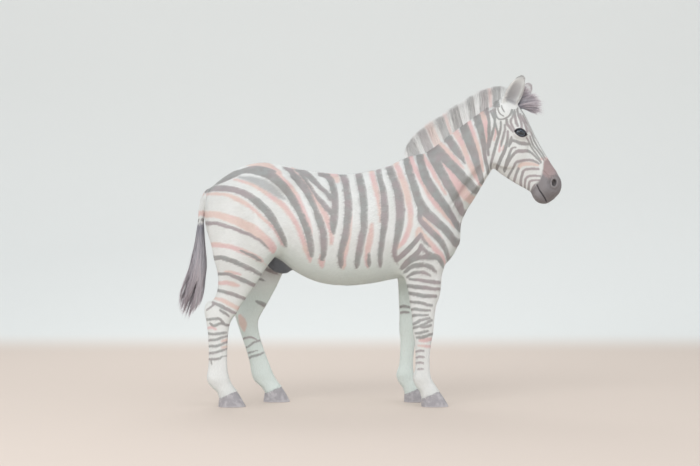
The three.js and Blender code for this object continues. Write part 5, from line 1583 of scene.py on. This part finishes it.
def coatBlades():
    corners = skinVertices[skinFaces]
    diagonals = corners[:, 2] - corners[:, 0], corners[:, 3] - corners[:, 1]
    area = 0.5 * np.linalg.norm(np.cross(*diagonals), axis=1)
    centre = corners.mean(1)
    which = sleeveOf(centre)
    names = list(sleeves)
    kinds = ["leg" if n in legRows else n.split("_")[0] for n in names]
    size = np.array([shortCoat[k] for k in kinds])[which]
    weight = area / size[:, 0]
    muzzle = skinMarks["muzzle"][skinFaces].mean(1)
    weight = np.where(muzzle > 0, weight * 0.45, weight)
    aboveHoof = np.full(len(centre), 99.0)
    for toe, y in hoofToes.values():
        near = (np.abs(centre[:, 0] - toe + 90) < 130) & (np.sign(centre[:, 1]) == np.sign(y))
        aboveHoof = np.where(near, centre[:, 2] - hairlineHeight(centre[:, 0], toe), aboveHoof)
    weight[aboveHoof < 4] = 0
    for side in (-1, 1):
        e1, out, e2 = inFrame(eyeFrame(side), centre)
        weight[np.hypot(e1 / 34, e2 / 22) < np.where(out > 5, 1.0, 0.0)] = 0
    for shape in nostrils:
        weight[shape[0](centre) < 1.0] = 0
    weight[(centre[:, 0] < -885) & (centre[:, 2] < 960)] *= 0.2
    summed = np.cumsum(weight)
    count = int(summed[-1])
    pick = np.searchsorted(summed, (np.arange(count) + dice.uniform(0, 1, count)) * summed[-1] / count)
    pick = np.minimum(pick, len(weight) - 1)
    a, b = dice.uniform(0, 1, (2, count, 1))
    share = [(1 - a) * (1 - b), a * (1 - b), a * b, (1 - a) * b]

    def blend(values):
        wide = values.reshape(len(values), -1)
        total = sum(w * wide[skinFaces[pick, k]] for k, w in enumerate(share))
        return total if values.ndim == 2 else total[:, 0]

    root, normal = blend(skinVertices), unit(blend(skinNormals))
    marks = {k: blend(v) for k, v in skinMarks.items()}
    kind, size = which[pick], size[pick]
    flow = coatFlow(root, normal)
    fringe = ease(150, 75, root[:, 2])  # longer hair hangs over the top of each hoof
    bare = ease(0, 30, marks["muzzle"])
    belly = ease(-0.5, -0.9, normal[:, 2]) * (root[:, 2] < 900) * (np.abs(root[:, 0]) < 700)
    length = size[:, 1] * dice.uniform(0.7, 1.25, count) * (1 + 0.4 * belly)
    length = length + (shortCoat["fringe"] - size[:, 1]) * fringe
    length = length * (1 - 0.5 * bare)
    width = size[:, 2] * dice.uniform(0.75, 1.2, count) * (1 - 0.3 * bare)
    deep = coatDepth(root) * dice.uniform(0.55, 1.0, count) * (1 - 0.4 * bare)
    across = np.cross(flow, normal)
    flow = unit(flow + across * dice.normal(0, 0.10, (count, 1)))
    over = ease(18, 6, aboveHoof[pick])  # the lowest hairs stand out over the horn
    rise = [-0.3 * np.ones(count), deep * 0.55 + 2.2 * over, deep * 0.75 + 4.0 * over]
    groups = []
    for label, members in (("trunk", ("trunk", "tail")), ("neck", ("neck",)),
                           ("head", ("head", "ear_right", "ear_left")), ("legs", legRows)):
        mine = np.flatnonzero(np.isin(kind, [names.index(m) for m in members]))
        parts = max(1, int(np.ceil(len(mine) / shortCoat["perPiece"])))
        groups += [("coat_" + label + ("_%d" % (i + 1) if parts > 1 else ""), part)
                   for i, part in enumerate(np.array_split(mine, parts))]
    for name, mine in groups:
        points, faces, along, each = blades(root[mine], flow[mine], normal[mine], length[mine], width[mine],
                                            [r[mine] for r in rise])
        attributes = coatAttributes(root[mine], {k: v[mine] for k, v in marks.items()}, each)
        piece = meshObject(name, points, faces, hairMaterial, attributes,
                           bladeUv(root[mine], faces, each, along))
        print("coat:", name, len(faces), "triangles")


# long hairs: whiskers on the muzzle, feelers round the eyes, fringe inside the ears
feelers = {"muzzle": 150, "muzzleLength": 26, "eye": 16, "eyeLength": 32, "ear": 900, "earLength": 22,
           "whiskers": {"dark": "#8b878a", "mid": "#8b878a", "light": "#c9c6c3"},
           "fringe": {"dark": "#c9c6c3", "mid": "#d9d7d4", "light": "#e9e8e6"}}


def addFeelers():
    a, _, t = inFrame(headFrame, skinVertices)
    near = np.flatnonzero((a > 268) & (t < 6) & (skinVertices[:, 0] > 700))
    pick = dice.choice(near, feelers["muzzle"], replace=False)
    root, normal = skinVertices[pick], skinNormals[pick]
    heading = unit(normal * 0.9 - headFrame["up"] * 0.35 + headFrame["along"] * 0.25
                   + dice.normal(0, 0.15, (len(pick), 3)))
    length = feelers["muzzleLength"] * dice.uniform(0.5, 1.2, len(pick))
    parts = [(root, heading, length, 0.55)]
    for side in (-1, 1):
        f = eyeFrame(side)
        n = feelers["eye"]
        angle = dice.uniform(-2.6, -0.4, n)
        spot = toWorld(f, 42 * np.cos(angle), 90.0, 30 * np.sin(angle))
        hit, face = surfaceUnder(spot, np.tile(-f["side"], (n, 1)), 160)
        ok = face >= 0
        heading = unit(f["side"] * 0.8 + f["along"] * np.cos(angle[ok])[:, None] * 0.5
                       + f["up"] * np.sin(angle[ok])[:, None] * 0.8)
        parts.append((hit[ok], heading, feelers["eyeLength"] * dice.uniform(0.6, 1.1, ok.sum()), 0.5))
    points, faces, first = [], [], 0
    for root, heading, length, thick in parts:
        out = unit(np.cross(heading, [0.3, 0.9, 0.2]))
        p, f, _, _ = blades(root - heading, heading, out, length, np.full(len(root), thick),
                            [length * 0.10 * (k / 3) ** 2 for k in range(4)])
        points.append(p)
        faces.append(f + first)
        first += len(p)
    piece = meshObject("whiskers", np.concatenate(points), np.concatenate(faces),
                       longHairMaterial("whiskerHair", feelers["whiskers"]))


def addEarHair():
    material = longHairMaterial("earFringe", feelers["fringe"])
    for name, side in (("right", -1), ("left", 1)):
        f = earFrame(side)
        n = feelers["ear"]
        s = dice.uniform(36, 168, n)
        edge = np.where(dice.uniform(0, 1, n) < 0.5, -1.0, 1.0)
        _, half, depth = earRows(s)
        deep = dice.uniform(0, 1, n) ** 1.5 * 0.5  # how far down the cup's wall each hair roots
        angle = edge * (1.72 - deep)
        half, depth = half - 5, depth - 5
        bow = earShape["bow"] * s * s
        root = toWorld(f, s, half * np.sin(angle), -depth * np.cos(angle) - bow - 0.5)
        heading = unit(f["up"][None] * 0.65 + f["along"][None] * dice.uniform(0.6, 1.9, (n, 1))
                       - f["side"][None] * (edge * 0.7)[:, None] + dice.normal(0, 0.25, (n, 3)))
        length = feelers["earLength"] * dice.uniform(0.3, 1.2, n) * (0.6 + 0.4 * ease(205, 120, s))
        out = unit(np.cross(heading, f["along"]) * edge[:, None])
        points, faces, along, each = blades(root, heading, out, length, dice.uniform(0.45, 0.8, n),
                                            [length * 0.2 * (k / 3) ** 2 for k in range(4)])
        tone = np.repeat(dice.uniform(0.3, 1, n), each)
        piece = meshObject("ear_fringe_" + name, points, faces, material, {"tone": tone},
                           bladeUv(root, faces, each, along))


print("hair: mane, forelock and tail")
hairMaterial = coatMaterial("shortCoatHair", 0.8)
maneMaterial = coatMaterial("uprightManeHair", 0.8, 0.3)
forelockMaterial = longHairMaterial("forelockHair", forelock["colours"])
tailMaterial = longHairMaterial("coarseTailHair", tail["colours"])
buildMane()
buildForelock()
buildTail()
print("coat: short hair")
coatBlades()
addFeelers()
addEarHair()


# floor, backdrop, light and camera, in metres
stage = {
    "colours": {"floor": "#d3c8bf", "wall": "#ebeeed"}, "air": "#f4f5f6", "glow": 0.93,
    "front": -9.0, "depth": 6.2, "radius": 3.0, "height": 12.0, "half": 16.0, "bends": 12,
    "lamps": [("keyLamp", (-2.6, -5.2, 5.0), 4.5, 185), ("fillLamp", (4.5, -4.6, 2.6), 6.0, 50),
              ("backLamp", (-1.0, 4.5, 5.2), 4.0, 90)],  # place, size and watts
    "aim": (0, 0, 0.8), "camera": (-0.103, -7.0, 0.8), "lens": 66.67, "rise": 0.0325}


def buildStage():
    # a floor that curves up into a wall
    depth, r = stage["depth"], stage["radius"]
    sweep = [(stage["front"], 0.0), (depth, 0.0)]
    for i in range(stage["bends"]):
        a = math.pi / 2 * (i + 1) / stage["bends"]
        sweep.append((depth + r * math.sin(a), r * (1 - math.cos(a))))
    sweep.append((depth + r, stage["height"]))
    mesh = bpy.data.meshes.new("backdrop")
    points = [(x, y, z) for y, z in sweep for x in (-stage["half"], stage["half"])]
    faces = [(2 * i, 2 * i + 1, 2 * i + 3, 2 * i + 2) for i in range(len(sweep) - 1)]
    mesh.from_pydata(points, [], faces)
    mesh.polygons.foreach_set("use_smooth", np.ones(len(faces), bool))
    obj = addObject("backdrop", mesh)
    # matt painted card: no shine, a warm floor that turns into a cool wall
    material, tree = newMaterial("mattPaintedCard")
    place = addNode(tree, "NewGeometry", out="Position")
    back = addNode(tree, "SeparateXYZ", {"Vector": place}, "Y")
    tone = paint(tree, stage["colours"], [("floor", "wall", back, 3.6, 6.6, 1, soft)])
    addNode(tree, "OutputMaterial", {"Surface": addNode(tree, "BsdfDiffuse", {"Color": tone})})
    mesh.materials.append(material)

    world = bpy.data.worlds.new("softRoom")
    bpy.context.scene.world = world
    world.use_nodes = True
    sky = world.node_tree.nodes["Background"].inputs
    sky["Color"].default_value = linear(stage["air"])
    sky["Strength"].default_value = stage["glow"]

    for name, place, size, power in stage["lamps"]:
        lamp = bpy.data.lights.new(name, "AREA")
        lamp.size = size
        lamp.energy = power
        towards = Vector(stage["aim"]) - Vector(place)
        addObject(name, lamp, place, towards.to_track_quat("-Z", "Y").to_euler())

    camera = bpy.data.cameras.new("camera")
    camera.lens = stage["lens"]
    camera.sensor_width = 36.0
    camera.shift_y = stage["rise"]
    camera.clip_end = 60
    bpy.context.scene.camera = addObject("camera", camera, stage["camera"], (math.radians(90), 0, 0))
    bpy.context.scene.view_settings.view_transform = "Standard"


print("stage: floor, light and camera")
buildStage()
